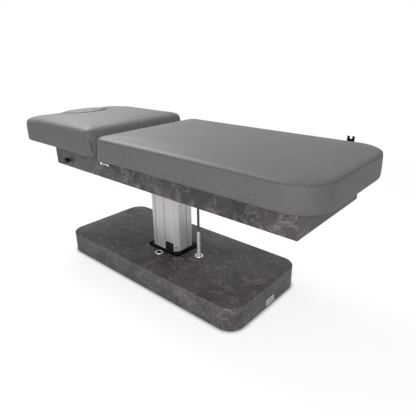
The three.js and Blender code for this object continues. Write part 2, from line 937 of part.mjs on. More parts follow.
// Four laminated panels, mitred at the corners, make the frame's rim.
function framePanels() {
  const halfWidth = frameWidth / 2;
  const corner = {
    headNear: [[frameHeadX, -halfWidth], [frameHeadX + panelThickness, -panelInnerY]],
    headFar: [[frameHeadX, halfWidth], [frameHeadX + panelThickness, panelInnerY]],
    footNear: [[frameFootX, -halfWidth], [frameFootX - panelThickness, -panelInnerY]],
    footFar: [[frameFootX, halfWidth], [frameFootX - panelThickness, panelInnerY]],
  };
  const panel = (from, to) => {
    const points = [from[0], to[0], to[1], from[1]].map(([x, y]) => new THREE.Vector2(x, y));
    return raised(new THREE.Shape(points), frameBottom, frameTop);
  };
  const near = panel(corner.headNear, corner.footNear);
  const panelDepth = panelThickness + 2 * cutOverrun;
  const lowY = -halfWidth - cutOverrun;
  const studHole = crosswiseCylinder(knobStudRadius + fitGap, panelDepth, knobX, lowY, knobZ);
  const leverHole = crosswiseCylinder(
    leverSpindleRadius + fitGap,
    panelDepth,
    leverX,
    lowY,
    leverZ,
  );
  place(liftFrame, 'frame_panel_near', cut(near, studHole, leverHole), laminate);
  place(liftFrame, 'frame_panel_far', panel(corner.footFar, corner.headFar), laminate);
  place(liftFrame, 'frame_panel_foot', panel(corner.footNear, corner.footFar), laminate);
  place(liftFrame, 'frame_panel_head', panel(corner.headFar, corner.headNear), laminate);
}

// A steel box section with its ends open
function boxSection(low, high, axis, wall = railWall) {
  const holeLow = low.map((value, way) => (way === axis ? value - cutOverrun : value + wall));
  const holeHigh = high.map((value, way) => (way === axis ? value + cutOverrun : value - wall));
  return cut(block(low, high), block(holeLow, holeHigh));
}

// Two long rails inside the side panels, drilled for the pivot shaft and for the controls
function chassisRails() {
  const headX = frameHeadX + panelThickness + fitGap;
  const footX = frameFootX - panelThickness - fitGap;
  const railBottom = frameTop - railHeight;
  const seat = pivotSeat + cutOverrun;
  for (const [name, side] of [['near', -1], ['far', 1]]) {
    const ends = [side * railInnerY, side * railOuterY].sort((a, b) => a - b);
    const rail = boxSection([headX, ends[0], railBottom], [footX, ends[1], frameTop], 0);
    const seatY = side < 0 ? -railInnerY - pivotSeat : railInnerY - cutOverrun;
    const shaftHole = crosswiseCylinder(pivotRadius + fitGap, seat, pivotX, seatY, pivotZ);
    const holes = side < 0 ? [shaftHole, ...controlHoles()] : [shaftHole];
    place(liftFrame, `chassis_rail_${name}`, cut(rail, ...holes), greySteel);
  }
}

function controlHoles() {
  const length = railWidth + cutOverrun;
  const lowY = -railOuterY - cutOverrun;
  return [
    crosswiseCylinder(knobStudRadius + fitGap, length + cutOverrun, knobX, lowY, knobZ),
    crosswiseCylinder(leverSpindleRadius + fitGap, length + cutOverrun, leverX, lowY, leverZ),
  ];
}

// Cross members join the rails. The one at the head end hangs lower, to clear the arms, and
// has the lugs and pin that hold the gas spring's foot.
function chassisCrosses() {
  const halfLength = railInnerY - fitGap;
  const crossAt = (x, bottom, height) => boxSection(
    [x - crossWidth / 2, -halfLength, bottom],
    [x + crossWidth / 2, halfLength, bottom + height],
    1,
  );
  const places = { column_head: -columnCrossOffset, column_foot: columnCrossOffset, foot: footCrossX };
  for (const [name, x] of Object.entries(places)) {
    place(liftFrame, `chassis_cross_${name}`, crossAt(x, crossBottom, crossHeight), greySteel);
  }
  const headCross = crossAt(headCrossX, headCrossTop - headCrossHeight, headCrossHeight);
  const faceX = headCrossX - crossWidth / 2;
  const lugs = lugPair(springFootX, springFootZ, faceX + weldSink, springFootZ);
  place(liftFrame, 'chassis_cross_head', join(headCross, ...lugs), greySteel);
}

// Two lugs and the pin between them. Each lug is a plate from a foot at one side to a round end
// about the pin.
function lugPair(pinX, pinZ, rootX, rootZ) {
  const inside = springEyeWidth / 2 + fitGap;
  const pieces = [-1, 1].flatMap((side) => {
    const lowY = side < 0 ? -inside - lugThickness : inside;
    const round = crosswiseCylinder(lugMargin, lugThickness, pinX, lowY, pinZ, smallSides);
    const marginX = rootX === pinX ? lugMargin : 0;
    const marginZ = rootZ === pinZ ? lugMargin : 0;
    const web = block(
      [Math.min(pinX, rootX) - marginX, lowY, Math.min(pinZ, rootZ) - marginZ],
      [Math.max(pinX, rootX) + marginX, lowY + lugThickness, Math.max(pinZ, rootZ) + marginZ],
    );
    return [round, web];
  });
  const pinLength = 2 * (inside + lugThickness);
  pieces.push(crosswiseCylinder(springPinRadius, pinLength, pinX, -pinLength / 2, pinZ, smallSides));
  return pieces;
}

// The plate on top of the column carries the cross members, and reaches out over the cable tube.
function columnHeadPlate() {
  const length = headPlateFootX - headPlateHeadX;
  const middle = (headPlateFootX + headPlateHeadX) / 2;
  const plate = raised(
    roundedRectangle(length, headPlateWidth, footPlateCorner, middle, 0),
    headPlateBottom,
    crossBottom,
    filletSteps,
  );
  const cableHole = uprightCylinder(
    headPlateCableHole,
    headPlateThickness + 2 * cutOverrun,
    conduitX,
    0,
    headPlateBottom - cutOverrun,
  );
  place(liftFrame, 'column_head_plate', cut(plate, cableHole), blackSteel);
}

// Plan outline of a cushion drawn in by an inset, as points that run the same way round from the
// same place for every inset
function cushionOutline(plan, inset) {
  const { headX, footX, halfWidth, headRadius, footRadius } = plan;
  const corners = [
    [footX - footRadius, -halfWidth + footRadius, footRadius, -Math.PI / 2],
    [footX - footRadius, halfWidth - footRadius, footRadius, 0],
    [headX + headRadius, halfWidth - headRadius, headRadius, Math.PI / 2],
    [headX + headRadius, -halfWidth + headRadius, headRadius, Math.PI],
  ];
  const points = [];
  corners.forEach(([x, y, radius, start], number) => {
    const reach = radius - inset;
    for (let step = 0; step <= plan.cornerSteps; step += 1) {
      const angle = start + Math.PI / 2 * step / plan.cornerSteps;
      points.push([x + reach * Math.cos(angle), y + reach * Math.sin(angle)]);
    }
    const [nextX, nextY, nextRadius, nextStart] = corners[(number + 1) % corners.length];
    const from = points.at(-1);
    const nextReach = nextRadius - inset;
    const to = [nextX + nextReach * Math.cos(nextStart), nextY + nextReach * Math.sin(nextStart)];
    const steps = number % 2 === 0 ? plan.shortSteps : plan.longSteps;
    for (let step = 1; step < steps; step += 1) {
      const share = step / steps;
      points.push([from[0] + (to[0] - from[0]) * share, from[1] + (to[1] - from[1]) * share]);
    }
  });
  return points;
}

// A cushion: a flat underside, walls that swell a little and pull in between the corners, a
// rounded top edge and a crowned top
function cushion(plan) {
  const { bottom, edgeRise, topRise, crown, edgeRun } = plan;
  const rise = topRise - edgeRise - crown;
  const quarter = Math.PI / 2;
  const rings = [];
  const add = (points, height) => rings.push(points.map((point) => plan.shape(point, height)));
  const wall = [
    [cushionFoot, 0],
    [cushionFoot * footRoundShare, cushionFoot * footRoundShare],
    [cushionBulge, cushionFoot],
    ...wallRiseShares.map((share, ring) => [cushionBulge * wallInsetShares[ring], edgeRise * share]),
  ];
  wall.forEach(([inset, height]) => add(cushionOutline(plan, inset), bottom + height));
  for (let step = 1; step <= plan.edgeSteps; step += 1) {
    const angle = quarter * step / plan.edgeSteps;
    const inset = cushionBulge + edgeRun * (1 - Math.cos(angle));
    add(cushionOutline(plan, inset), bottom + edgeRise + rise * Math.sin(angle));
  }
  const rim = cushionOutline(plan, cushionBulge + edgeRun);
  const centreX = (plan.headX + plan.footX) / 2;
  for (let step = 1; step <= plan.crownSteps; step += 1) {
    const share = 1 - step / (plan.crownSteps + 1);
    const points = rim.map(([x, y]) => [centreX + (x - centreX) * share, y * share]);
    add(points, bottom + edgeRise + rise + crown * (1 - share * share));
  }
  return loft(rings);
}

// How far the long sides pull in at a point, from nothing at the corners to all at mid length
function pulled(plan, x, y) {
  const middle = (plan.headX + plan.footX) / 2;
  const half = (plan.footX - plan.headX) / 2;
  const share = Math.max(0, 1 - ((x - middle) / half) ** 2);
  return y * (1 - cushionPull / plan.halfWidth * share);
}

const mainPlan = {
  headX: mainHeadX,
  footX: mainFootX,
  halfWidth: mainHalfWidth,
  headRadius: mainHeadCorner,
  footRadius: mainFootCorner,
  bottom: cushionBottom,
  edgeRise: mainSeamRise,
  topRise: mainTopRise,
  crown: mainCrown,
  edgeRun: mainEdgeRun,
  cornerSteps: 8,
  shortSteps: 4,
  longSteps: 10,
  edgeSteps: 5,
  crownSteps: 4,
  shape([x, y], height) {
    const lean = 1 - smooth(x, mainHeadX, mainHeadX + leanLength);
    return [
      x + mainLeanShare * (height - cushionBottom) * lean,
      pulled(mainPlan, x, y),
      height,
    ];
  },
};

const headPlan = {
  headX: headHeadX,
  footX: headFootX,
  halfWidth: headHalfWidth,
  headRadius: headHeadCorner,
  footRadius: headFootCorner,
  bottom: cushionBottom,
  edgeRise: headEdgeRise,
  topRise: headTopRise,
  crown: headCrown,
  edgeRun: headEdgeRun,
  cornerSteps: 6,
  shortSteps: 4,
  longSteps: 7,
  edgeSteps: 5,
  crownSteps: 3,
  shape([x, y], height) {
    const lean = smooth(x, headFootX - leanLength, headFootX);
    const above = smooth(height, cushionBottom + headEdgeRise / 2, cushionBottom + headTopRise);
    const nearEnd = 1 - smooth(x, headHeadX, headHeadX + headTaperLength);
    return [
      x - headLeanShare * (height - cushionBottom) * lean,
      pulled(headPlan, x, y),
      height - headTaper * above * nearEnd,
    ];
  },
};

// An upholstery board has the cushion's outline, a little smaller.
function boardSolid(plan, low, high) {
  return loft([
    atHeight(cushionOutline(plan, boardInset), low),
    atHeight(cushionOutline(plan, boardInset), high),
  ]);
}

function pocketSolid(plan) {
  return loft([
    atHeight(cushionOutline(plan, boardInset - fitGap), frameTop - cutOverrun),
    atHeight(cushionOutline(plan, boardInset - fitGap), boardTop + fitGap),
  ]);
}

function mainMattress() {
  place(liftFrame, 'mattress_board', boardSolid(mainPlan, frameTop, boardTop), plywood);
  place(liftFrame, 'main_mattress', cut(cushion(mainPlan), pocketSolid(mainPlan)), upholstery);
}

// Oval of the face opening, grown or shrunk by an amount all round
function faceOval(grow) {
  const points = [];
  for (let step = 0; step < ovalSides; step += 1) {
    const angle = 2 * Math.PI * step / ovalSides;
    const cos = Math.cos(angle);
    const sin = Math.sin(angle);
    points.push([
      faceCentreX + (faceHalfLength + grow) * Math.sign(cos) * Math.abs(cos) ** (2 / facePower),
      (faceHalfWidth + grow) * Math.sign(sin) * Math.abs(sin) ** (2 / facePower),
    ]);
  }
  return points;
}

// Height of the head cushion's top over the face opening's centre
function faceTop(x) {
  const nearEnd = 1 - smooth(x, headHeadX, headHeadX + headTaperLength);
  return cushionBottom + headTopRise - headTaper * nearEnd;
}

function headCushion() {
  const flareDepth = faceFlare + headCrown;
  const hole = loft([
    atHeight(faceOval(0), cushionBottom - cutOverrun),
    ...faceFlareShares.map((share) => faceOval(faceFlare * share * share).map(([x, y]) => (
      [x, y, faceTop(x) - flareDepth * (1 - share)]
    ))),
  ]);
  const body = cut(cushion(headPlan), pocketSolid(headPlan), hole);
  place(headSection, 'head_cushion', body, upholstery);
  const rim = faceBoardRim;
  const boardHole = loft([
    atHeight(faceOval(-rim), frameTop - cutOverrun),
    atHeight(faceOval(-rim), boardTop + cutOverrun),
  ]);
  place(headSection, 'head_board', cut(boardSolid(headPlan, frameTop, boardTop), boardHole), plywood);
}

// The plug is a small cushion of its own that drops into the face opening.
function facePlug() {
  const low = boardTop + fitGap;
  const level = (grow, drop) => (
    faceOval(grow).map(([x, y]) => [x, y, faceTop(x) + plugStand - drop])
  );
  const plug = loft([
    atHeight(faceOval(-softGap - plugEdge / 4), low),
    atHeight(faceOval(-softGap), low + plugEdge / 3),
    ...plugInsetShares.map((share, ring) => (
      level(-softGap - plugEdge * share, plugCrown + plugEdge * plugDropShares[ring])
    )),
    level(-faceHalfWidth / 2, plugCrown / 3),
  ]);
  place(headSection, 'face_plug', plug, upholstery);
}

// The pivot shaft runs from rail to rail, and the two arms under the head board turn on it.
function headPivot() {
  const length = 2 * (railInnerY + pivotSeat - fitGap);
  const shaft = crosswiseCylinder(pivotRadius, length, pivotX, -length / 2, pivotZ);
  place(liftFrame, 'head_pivot_shaft', shaft, greySteel);
}

function headArms() {
  const top = frameTop - fitGap;
  const bottom = top - armHeight;
  for (const [name, side] of [['near', -1], ['far', 1]]) {
    const lowY = side * armY - armWidth / 2;
    const bar = block([pivotX - armLength, lowY, bottom], [pivotX, lowY + armWidth, top]);
    const eye = crosswiseCylinder(armEyeRadius, armWidth, pivotX, lowY, pivotZ);
    const bore = crosswiseCylinder(
      pivotRadius + fitGap,
      armWidth + 2 * cutOverrun,
      pivotX,
      lowY - cutOverrun,
      pivotZ,
    );
    place(headSection, `head_arm_${name}`, cut(join(bar, eye), bore), blackSteel);
  }
  const halfLength = armY - armWidth / 2 - fitGap;
  const tube = boxSection(
    [springHeadX - armCrossLength / 2, -halfLength, bottom],
    [springHeadX + armCrossLength / 2, halfLength, top],
    1,
  );
  const lugs = lugPair(springHeadX, springHeadZ, springHeadX, bottom + weldSink);
  place(headSection, 'head_arm_cross', join(tube, ...lugs), blackSteel);
}

// The gas spring is drawn along its own axis, from its foot pin at the origin towards +X, and
// its group turns it into place.
function gasSpringPieces() {
  const reachX = springHeadX - springFootX;
  const reachZ = springHeadZ - springFootZ;
  const length = Math.hypot(reachX, reachZ);
  gasSpring.position.set(springFootX, 0, springFootZ);
  gasSpring.rotation.y = -Math.atan2(reachZ, reachX);
  const alongX = (radius, from, to) => (
    new THREE.CylinderGeometry(radius, radius, to - from, smallSides)
      .rotateZ(-Math.PI / 2)
      .translate((from + to) / 2, 0, 0)
  );
  const eye = (x, radius) => crosswiseCylinder(radius, springEyeWidth, x, -springEyeWidth / 2, 0);
  const eyeHole = (x, radius) => crosswiseCylinder(
    radius,
    springEyeWidth + 2 * cutOverrun,
    x,
    -springEyeWidth / 2 - cutOverrun,
    0,
  );
  const tubeEnd = springEyeRadius + springTubeLength;
  const bore = alongX(
    springRodRadius + fitGap,
    springEyeRadius + springRodRadius * 2,
    tubeEnd + cutOverrun,
  );
  const barrel = alongX(springTubeRadius, springEyeRadius - weldSink * 2, tubeEnd);
  const body = join(eye(0, springEyeRadius), barrel);
  const footBore = eyeHole(0, springPinRadius + fitGap);
  place(gasSpring, 'gas_spring_tube', cut(body, footBore, bore), blackSteel);
  const rodStart = springEyeRadius + springTubeLength / 2;
  const rod = alongX(springRodRadius, rodStart, length - springHeadEyeRadius + weldSink * 2);
  const headBore = eyeHole(length, springPinRadius + springPinPlay);
  const rodEye = cut(eye(length, springHeadEyeRadius), headBore);
  place(gasSpring, 'gas_spring_rod', join(rodEye, rod), chrome);
}

// A three lobed clamping knob whose stud runs through the near panel and rail
function starKnob() {
  const faceY = -frameWidth / 2 - fitGap;
  const studLength = panelThickness + railWidth + 3 * fitGap + knobNeckLength;
  const stud = crosswiseCylinder(
    knobStudRadius,
    studLength,
    knobX,
    faceY - knobNeckLength,
    knobZ,
    smallSides,
  );
  const neck = crosswiseCylinder(
    knobNeckRadius,
    knobNeckLength + weldSink,
    knobX,
    faceY - knobNeckLength - weldSink,
    knobZ,
  );
  const lobe = (shrink, depth) => {
    const points = [];
    for (let step = 0; step < ovalSides; step += 1) {
      const angle = 2 * Math.PI * step / ovalSides;
      const radius = knobLobeMean - shrink + knobLobeSwing * Math.cos(knobLobes * angle);
      points.push([
        knobX + radius * Math.cos(angle),
        faceY - knobNeckLength - depth,
        knobZ + radius * Math.sin(angle),
      ]);
    }
    return points;
  };
  const grip = loft([
    lobe(knobRound, 0),
    lobe(0, knobRound),
    lobe(0, knobLength - knobRound),
    lobe(knobRound, knobLength),
  ]);
  place(liftFrame, 'star_knob', join(grip, neck, stud), blackPlastic);
}

// A short chrome lever with a ball end, on a spindle through the near panel and rail
function releaseLever() {
  const faceY = -frameWidth / 2 - fitGap;
  const spindleLength = panelThickness + railWidth + leverHubLength;
  const spindle = crosswiseCylinder(
    leverSpindleRadius,
    spindleLength,
    leverX,
    faceY - leverHubLength / 2,
    leverZ,
    smallSides,
  );
  const hubY = faceY - leverHubLength;
  const hub = crosswiseCylinder(leverHubRadius, leverHubLength, leverX, hubY, leverZ);
  const armRadius = leverArmRadius;
  const middleY = faceY - leverHubLength + armRadius;
  const arm = new THREE.CylinderGeometry(armRadius, armRadius, leverArmLength, smallSides)
    .rotateZ(Math.PI / 2)
    .translate(leverX + leverArmLength / 2, middleY, leverZ);
  const ball = new THREE.SphereGeometry(leverBallRadius, smallSides, smallSides / 2)
    .translate(leverX + leverArmLength, middleY, leverZ);
  place(liftFrame, 'release_lever', join(hub, spindle, arm, ball), chrome);
}

// A bent steel strap with a forked top, screwed to the far panel
function forkedHanger() {
  const faceY = frameWidth / 2;
  const upY = mainHalfWidth + hangerStandOff;
  const shape = new THREE.Shape();
  shape.moveTo(faceY, hangerFootLow);
  shape.lineTo(faceY + hangerThickness, hangerFootLow);
  shape.lineTo(faceY + hangerThickness, hangerBend - hangerThickness);
  shape.lineTo(upY + hangerThickness, hangerBend - hangerThickness);
  shape.lineTo(upY + hangerThickness, hangerTop);
  shape.lineTo(upY, hangerTop);
  shape.lineTo(upY, hangerBend);
  shape.lineTo(faceY, hangerBend);
  shape.closePath();
  const strap = new THREE.ExtrudeGeometry(shape, { depth: hangerWidth, bevelEnabled: false });
  const turned = new THREE.Matrix4().set(
    0, 0, 1, hangerX - hangerWidth / 2,
    1, 0, 0, 0,
    0, 1, 0, 0,
    0, 0, 0, 1,
  );
  const slot = block(
    [hangerX - hangerSlotWidth / 2, upY - cutOverrun, hangerTop - hangerSlotDepth],
    [hangerX + hangerSlotWidth / 2, upY + hangerThickness + cutOverrun, hangerTop + cutOverrun],
  );
  place(liftFrame, 'forked_hanger', cut(strap.applyMatrix4(turned), slot), blackSteel);
}

plinthWalls();
plinthTopBoard();
steelPlate();
levellingFeet();
columnAnchor();
columnFootPlate();
outerStage();
innerStages();
stageCollars();
columnCablePlug();
liftDrive();
cablePorts();
conduit();
labelPlate();
mainsInlet();
powerSupply();
framePanels();
chassisRails();
chassisCrosses();
columnHeadPlate();
mainMattress();
headCushion();
facePlug();
headPivot();
headArms();
gasSpringPieces();
starKnob();
releaseLever();
forkedHanger();

couch.position.x = -(headHeadX + mainFootX) / 2;

export default couch;
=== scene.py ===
from math import cos, exp, pi, radians, sin

import bmesh
import bpy
from mathutils import Matrix, Vector
from mathutils.bvhtree import BVHTree


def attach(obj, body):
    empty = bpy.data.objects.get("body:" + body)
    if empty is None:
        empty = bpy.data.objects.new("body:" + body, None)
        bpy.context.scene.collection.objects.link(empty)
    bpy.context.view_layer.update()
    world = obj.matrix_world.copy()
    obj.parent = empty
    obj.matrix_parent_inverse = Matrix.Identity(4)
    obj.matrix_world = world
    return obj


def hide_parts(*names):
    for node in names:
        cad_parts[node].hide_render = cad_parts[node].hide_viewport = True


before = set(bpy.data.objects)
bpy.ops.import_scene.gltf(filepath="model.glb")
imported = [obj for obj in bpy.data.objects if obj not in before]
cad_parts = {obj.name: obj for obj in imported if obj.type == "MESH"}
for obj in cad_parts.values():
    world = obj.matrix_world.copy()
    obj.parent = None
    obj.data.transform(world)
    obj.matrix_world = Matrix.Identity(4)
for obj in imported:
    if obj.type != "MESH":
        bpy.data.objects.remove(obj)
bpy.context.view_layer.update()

MM = 0.001

# Camera
# The photograph was taken from the near side of the foot end, a little above the mattress.
# Its place and angles were worked out from the straight edges of the plinth, frame and column.
photo_pixels = 416
focal_pixels = 390.08
sensor_width = 36
camera_x = 1444.8 * MM
camera_y = -1394.6 * MM
camera_z = 1195.5 * MM
camera_turn = 41.02
camera_tilt = 22.55
camera_roll = -0.556
camera_data = bpy.data.cameras.new("photo_camera")
camera_data.sensor_width = sensor_width
camera_data.lens = sensor_width * focal_pixels / photo_pixels
camera = bpy.data.objects.new("photo_camera", camera_data)
bpy.context.scene.collection.objects.link(camera)
camera.matrix_world = (
    Matrix.Translation((camera_x, camera_y, camera_z))
    @ Matrix.Rotation(radians(camera_turn), 4, "Z")
    @ Matrix.Rotation(pi / 2 - radians(camera_tilt), 4, "X")
    @ Matrix.Rotation(radians(camera_roll), 4, "Z")
)
bpy.context.scene.camera = camera

# Plinth boards and frame panels
# Particle board with a satin laminate printed like polished cement: slate clouds with paler
# veils, dark swirls and pale specks. The boards are glued, and their edges show as a thin
# paler line, which is the sheet's edge together with a painted highlight where the edges catch
# light.
slate_pale = (0.300, 0.276, 0.285)
slate_middle = (0.094, 0.084, 0.089)
slate_dark = (0.024, 0.021, 0.023)
# Paler colour along the edges: the sheet's edge together with a painted highlight.
slate_edge_and_highlight = (0.36, 0.345, 0.35)
top_pale = (0.270, 0.245, 0.258)
top_middle = (0.104, 0.091, 0.099)
top_dark = (0.040, 0.033, 0.038)
noise_range = (0.3, 0.7)
cloud_scale = 4.2
cloud_range = (0.36, 0.62)
swirl_scale = 6.5
swirl_range = (0.7, 1.4)
swirl_share = 0.55
wisp_scale = 7.5
wisp_range = (1.15, 1.9)
wisp_share = 0.22
veil_scale = 15
veil_range = (0.5, 0.72)
veil_share = 0.85
dust_scale = 190
dust_range = (0.58, 0.7)
dust_patch_scale = 4.6
dust_patch_range = (0.54, 0.66)
speck_scale = 110
speck_levels = ((0.32, 0.62), (0.5, 0.97), (0.68, 1.38))
laminate_roughness = (0.42, 0.56)
laminate_shine = 0.4
laminate_bump = 0.15 * MM
laminate_bump_share = 0.5
edge_line_width = 2.6 * MM
edge_patch_scale = 60
edge_patch_range = (0.3, 0.62)
edge_turn_range = (0.998, 0.93)
edge_samples = 4
hollow_reach = 7 * MM
hollow_samples = 8


def join_up(tree, source, socket):
    """Links a socket or sets a plain value or colour."""
    if isinstance(source, bpy.types.NodeSocket):
        tree.links.new(source, socket)
    elif isinstance(source, tuple) and len(source) == 3 and socket.type == "RGBA":
        socket.default_value = (*source, 1)
    else:
        socket.default_value = source


def put(tree, kind, feeds=None, **settings):
    """Adds a node with its settings and with what feeds its inputs."""
    node = tree.nodes.new(kind)
    for name, value in settings.items():
        setattr(node, name, value)
    for name, source in (feeds or {}).items():
        join_up(tree, source, node.inputs[name])
    return node


def noise(tree, vector, scale, kind="FBM", **feeds):
    feeds = {"Vector": vector, "Scale": scale, **feeds}
    return put(tree, "ShaderNodeTexNoise", feeds, noise_type=kind).outputs["Fac"]


def spread(tree, value, low, high, to_low=0, to_high=1):
    """Stretches a range of a value to another range."""
    return put(tree, "ShaderNodeMapRange", {
        "Value": value, "From Min": low, "From Max": high, "To Min": to_low, "To Max": to_high,
    }).outputs["Result"]


def mixed(tree, share, first, second, blend="MIX"):
    node = put(tree, "ShaderNodeMix", data_type="RGBA", blend_type=blend)
    for number, source in ((0, share), (6, first), (7, second)):
        join_up(tree, source, node.inputs[number])
    return node.outputs[2]


def maths(tree, operation, first, second):
    node = put(tree, "ShaderNodeMath", {0: first, 1: second}, operation=operation)
    return node.outputs["Value"]


def ramp(tree, value, *stops):
    """Turns a value into a colour. Each stop is a place on the value's scale and a colour."""
    node = put(tree, "ShaderNodeValToRGB", {"Fac": value})
    marks = node.color_ramp.elements
    for mark, (place, colour) in zip(marks, (stops[0], stops[-1])):
        mark.position = place
        mark.color = (*colour, 1)
    for place, colour in stops[1:-1]:
        marks.new(place).color = (*colour, 1)
    return node.outputs["Color"]


def shaded(tree, value, dark, light):
    """Runs from a dark to a light colour with a noise."""
    return ramp(tree, value, (noise_range[0], dark), (noise_range[1], light))


def grey(level):
    return (level, level, level)


def grey_ramp(tree, value, levels):
    return ramp(tree, value, *[(place, grey(level)) for place, level in levels])


def open_group(name, inputs, outputs):
    tree = bpy.data.node_groups.new(name, "ShaderNodeTree")
    for label, kind, value in inputs:
        socket = tree.interface.new_socket(label, in_out="INPUT", socket_type=kind)
        socket.default_value = value
    for label, kind in outputs:
        tree.interface.new_socket(label, in_out="OUTPUT", socket_type=kind)
    return tree, tree.nodes.new("NodeGroupInput").outputs, tree.nodes.new("NodeGroupOutput").inputs


def edge_group():
    """Mask of the places close to a sharp edge, broken up by noise like handled edges. It gives
    the rubbed wear on the coats and a painted highlight along the laminate's edges.
    """
    tree, inlet, outlet = open_group(
        "edge_wear_and_highlight",
        [("Width", "NodeSocketFloat", edge_line_width),
         ("Break Up", "NodeSocketFloat", edge_patch_scale)],
        [("Mask", "NodeSocketFloat"), ("Normal", "NodeSocketVector")],
    )
    rounded = put(tree, "ShaderNodeBevel", {"Radius": inlet["Width"]}, samples=edge_samples)
    face = put(tree, "ShaderNodeNewGeometry")
    facing = put(tree, "ShaderNodeVectorMath", {
        0: rounded.outputs["Normal"], 1: face.outputs["True Normal"],
    }, operation="DOT_PRODUCT")
    place = put(tree, "ShaderNodeTexCoord").outputs["Object"]
    turned = spread(tree, facing.outputs["Value"], *edge_turn_range)
    patchy = spread(tree, noise(tree, place, inlet["Break Up"]), *edge_patch_range)
    tree.links.new(maths(tree, "MULTIPLY", turned, patchy), outlet["Mask"])
    tree.links.new(rounded.outputs["Normal"], outlet["Normal"])
    return tree


edge_wear_and_highlight = edge_group()


def hollow_group():
    """Shade that gathers in grooves and corners: white in the open, dark in a hollow."""
    tree, inlet, outlet = open_group(
        "hollow_shade",
        [("Reach", "NodeSocketFloat", hollow_reach), ("Depth", "NodeSocketFloat", 1)],
        [("Shade", "NodeSocketColor")],
    )
    near = put(tree, "ShaderNodeAmbientOcclusion", {"Distance": inlet["Reach"]},
               samples=hollow_samples)
    power = maths(tree, "POWER", near.outputs["AO"], inlet["Depth"])
    tree.links.new(power, outlet["Shade"])
    return tree


hollow_shade = hollow_group()


def cloud_group():
    """Cement clouds: a broad drift, ridged swirls, finer veils, and specks and dust."""
    tree, inlet, outlet = open_group(
        "cement_clouds",
        [("Pale", "NodeSocketColor", (*slate_pale, 1)),
         ("Middle", "NodeSocketColor", (*slate_middle, 1)),
         ("Dark", "NodeSocketColor", (*slate_dark, 1)),
         ("Dust", "NodeSocketFloat", 0.5)],
        [("Colour", "NodeSocketColor"), ("Roughness", "NodeSocketFloat"),
         ("Height", "NodeSocketFloat")],
    )
    place = put(tree, "ShaderNodeTexCoord").outputs["Object"]
    drift = noise(tree, place, cloud_scale, Detail=6, Roughness=0.62, Distortion=0.8)
    veil = noise(tree, place, veil_scale, Detail=9, Roughness=0.7, Distortion=1.6)
    speck = noise(tree, place, speck_scale, Detail=4, Roughness=0.65)
    dust = noise(tree, place, dust_scale, Detail=2, Roughness=0.5)
    patch = noise(tree, place, dust_patch_scale, Detail=3, Distortion=0.6)
    swirl = noise(tree, place, swirl_scale, "RIDGED_MULTIFRACTAL", Detail=5, Distortion=2.2)
    wisp = noise(tree, place, wisp_scale, "RIDGED_MULTIFRACTAL", Detail=6, Roughness=0.55,
                 Distortion=3.0)
    ground = mixed(tree, spread(tree, drift, *cloud_range), inlet["Dark"], inlet["Middle"])
    swirling = spread(tree, swirl, *swirl_range, to_high=swirl_share)
    swirled = mixed(tree, swirling, ground, inlet["Dark"])
    streaking = spread(tree, wisp, *wisp_range, to_high=wisp_share)
    streaked = mixed(tree, streaking, swirled, inlet["Pale"])
    veiling = spread(tree, veil, *veil_range, to_high=veil_share)
    veiled = mixed(tree, veiling, streaked, inlet["Pale"])
    patches = spread(tree, patch, *dust_patch_range)
    dusty = maths(tree, "MULTIPLY", spread(tree, dust, *dust_range), patches)
    dusted = mixed(tree, maths(tree, "MULTIPLY", dusty, inlet["Dust"]), veiled, inlet["Pale"])
    dotted = grey_ramp(tree, speck, speck_levels)
    tree.links.new(mixed(tree, 1.0, dusted, dotted, "MULTIPLY"), outlet["Colour"])
    tree.links.new(spread(tree, veil, *noise_range, *laminate_roughness), outlet["Roughness"])
    tree.links.new(speck, outlet["Height"])
    return tree


cement_clouds = cloud_group()


def open_material(name, roughness=0.5, metallic=0.0):
    material = bpy.data.materials.new(name)
    material.use_nodes = True
    tree = material.node_tree
    shader = tree.nodes["Principled BSDF"]
    shader.inputs["Roughness"].default_value = roughness
    shader.inputs["Metallic"].default_value = metallic
    return material, tree, shader


def use_group(tree, group, **values):
    """Places a group. The low line in a value's name stands for a space."""
    node = put(tree, "ShaderNodeGroup", node_tree=group)
    for name, value in values.items():
        join_up(tree, value, node.inputs[name.replace("_", " ")])
    return node.outputs


def roughen(tree, shader, value, low, high):
    """Lets the roughness run from low to high with a noise."""
    tree.links.new(spread(tree, value, *noise_range, low, high), shader.inputs["Roughness"])


def raise_bump(tree, shader, height, distance, strength, normal=None):
    bump = put(tree, "ShaderNodeBump", {
        "Height": height, "Distance": distance, "Strength": strength,
    })
    if normal is not None:
        tree.links.new(normal, bump.inputs["Normal"])
    tree.links.new(bump.outputs["Normal"], shader.inputs["Normal"])


def laminate(name, pale, middle, dark, edge_share, dust_share):
    material, tree, shader = open_material(name)
    clouds = use_group(tree, cement_clouds, Pale=pale, Middle=middle, Dark=dark,
                       Dust=dust_share)
    edges = use_group(tree, edge_wear_and_highlight)
    # Painted highlight: a thin paler line along the edges, partly the sheet's own edge.
    line = maths(tree, "MULTIPLY", edges["Mask"], edge_share)
    join_up(tree, mixed(tree, line, clouds["Colour"], slate_edge_and_highlight), shader.inputs["Base Color"])
    tree.links.new(clouds["Roughness"], shader.inputs["Roughness"])
    raise_bump(tree, shader, clouds["Height"], laminate_bump, laminate_bump_share,
               edges["Normal"])
    shader.inputs["Specular IOR Level"].default_value = laminate_shine
    return material


slate_laminate = laminate("slate_laminate", slate_pale, slate_middle, slate_dark,
                          edge_share=0.35, dust_share=0.75)
dark_laminate = laminate("dark_laminate", top_pale, top_middle, top_dark,
                         edge_share=0.6, dust_share=0.35)


def dress(material, *names):
    for name in names:
        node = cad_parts[name]
        node.data.materials.clear()
        node.data.materials.append(material)


sides = ("near", "far")
ends = ("head", "foot")
dress(slate_laminate, *[f"plinth_side_{side}" for side in sides])
dress(slate_laminate, *[f"plinth_end_{end}" for end in ends])
dress(slate_laminate, *[f"plinth_corner_{end}_{side}" for end in ends for side in sides])
dress(slate_laminate, *[f"frame_panel_{side}" for side in (*sides, *ends)])
dress(dark_laminate, "plinth_top")

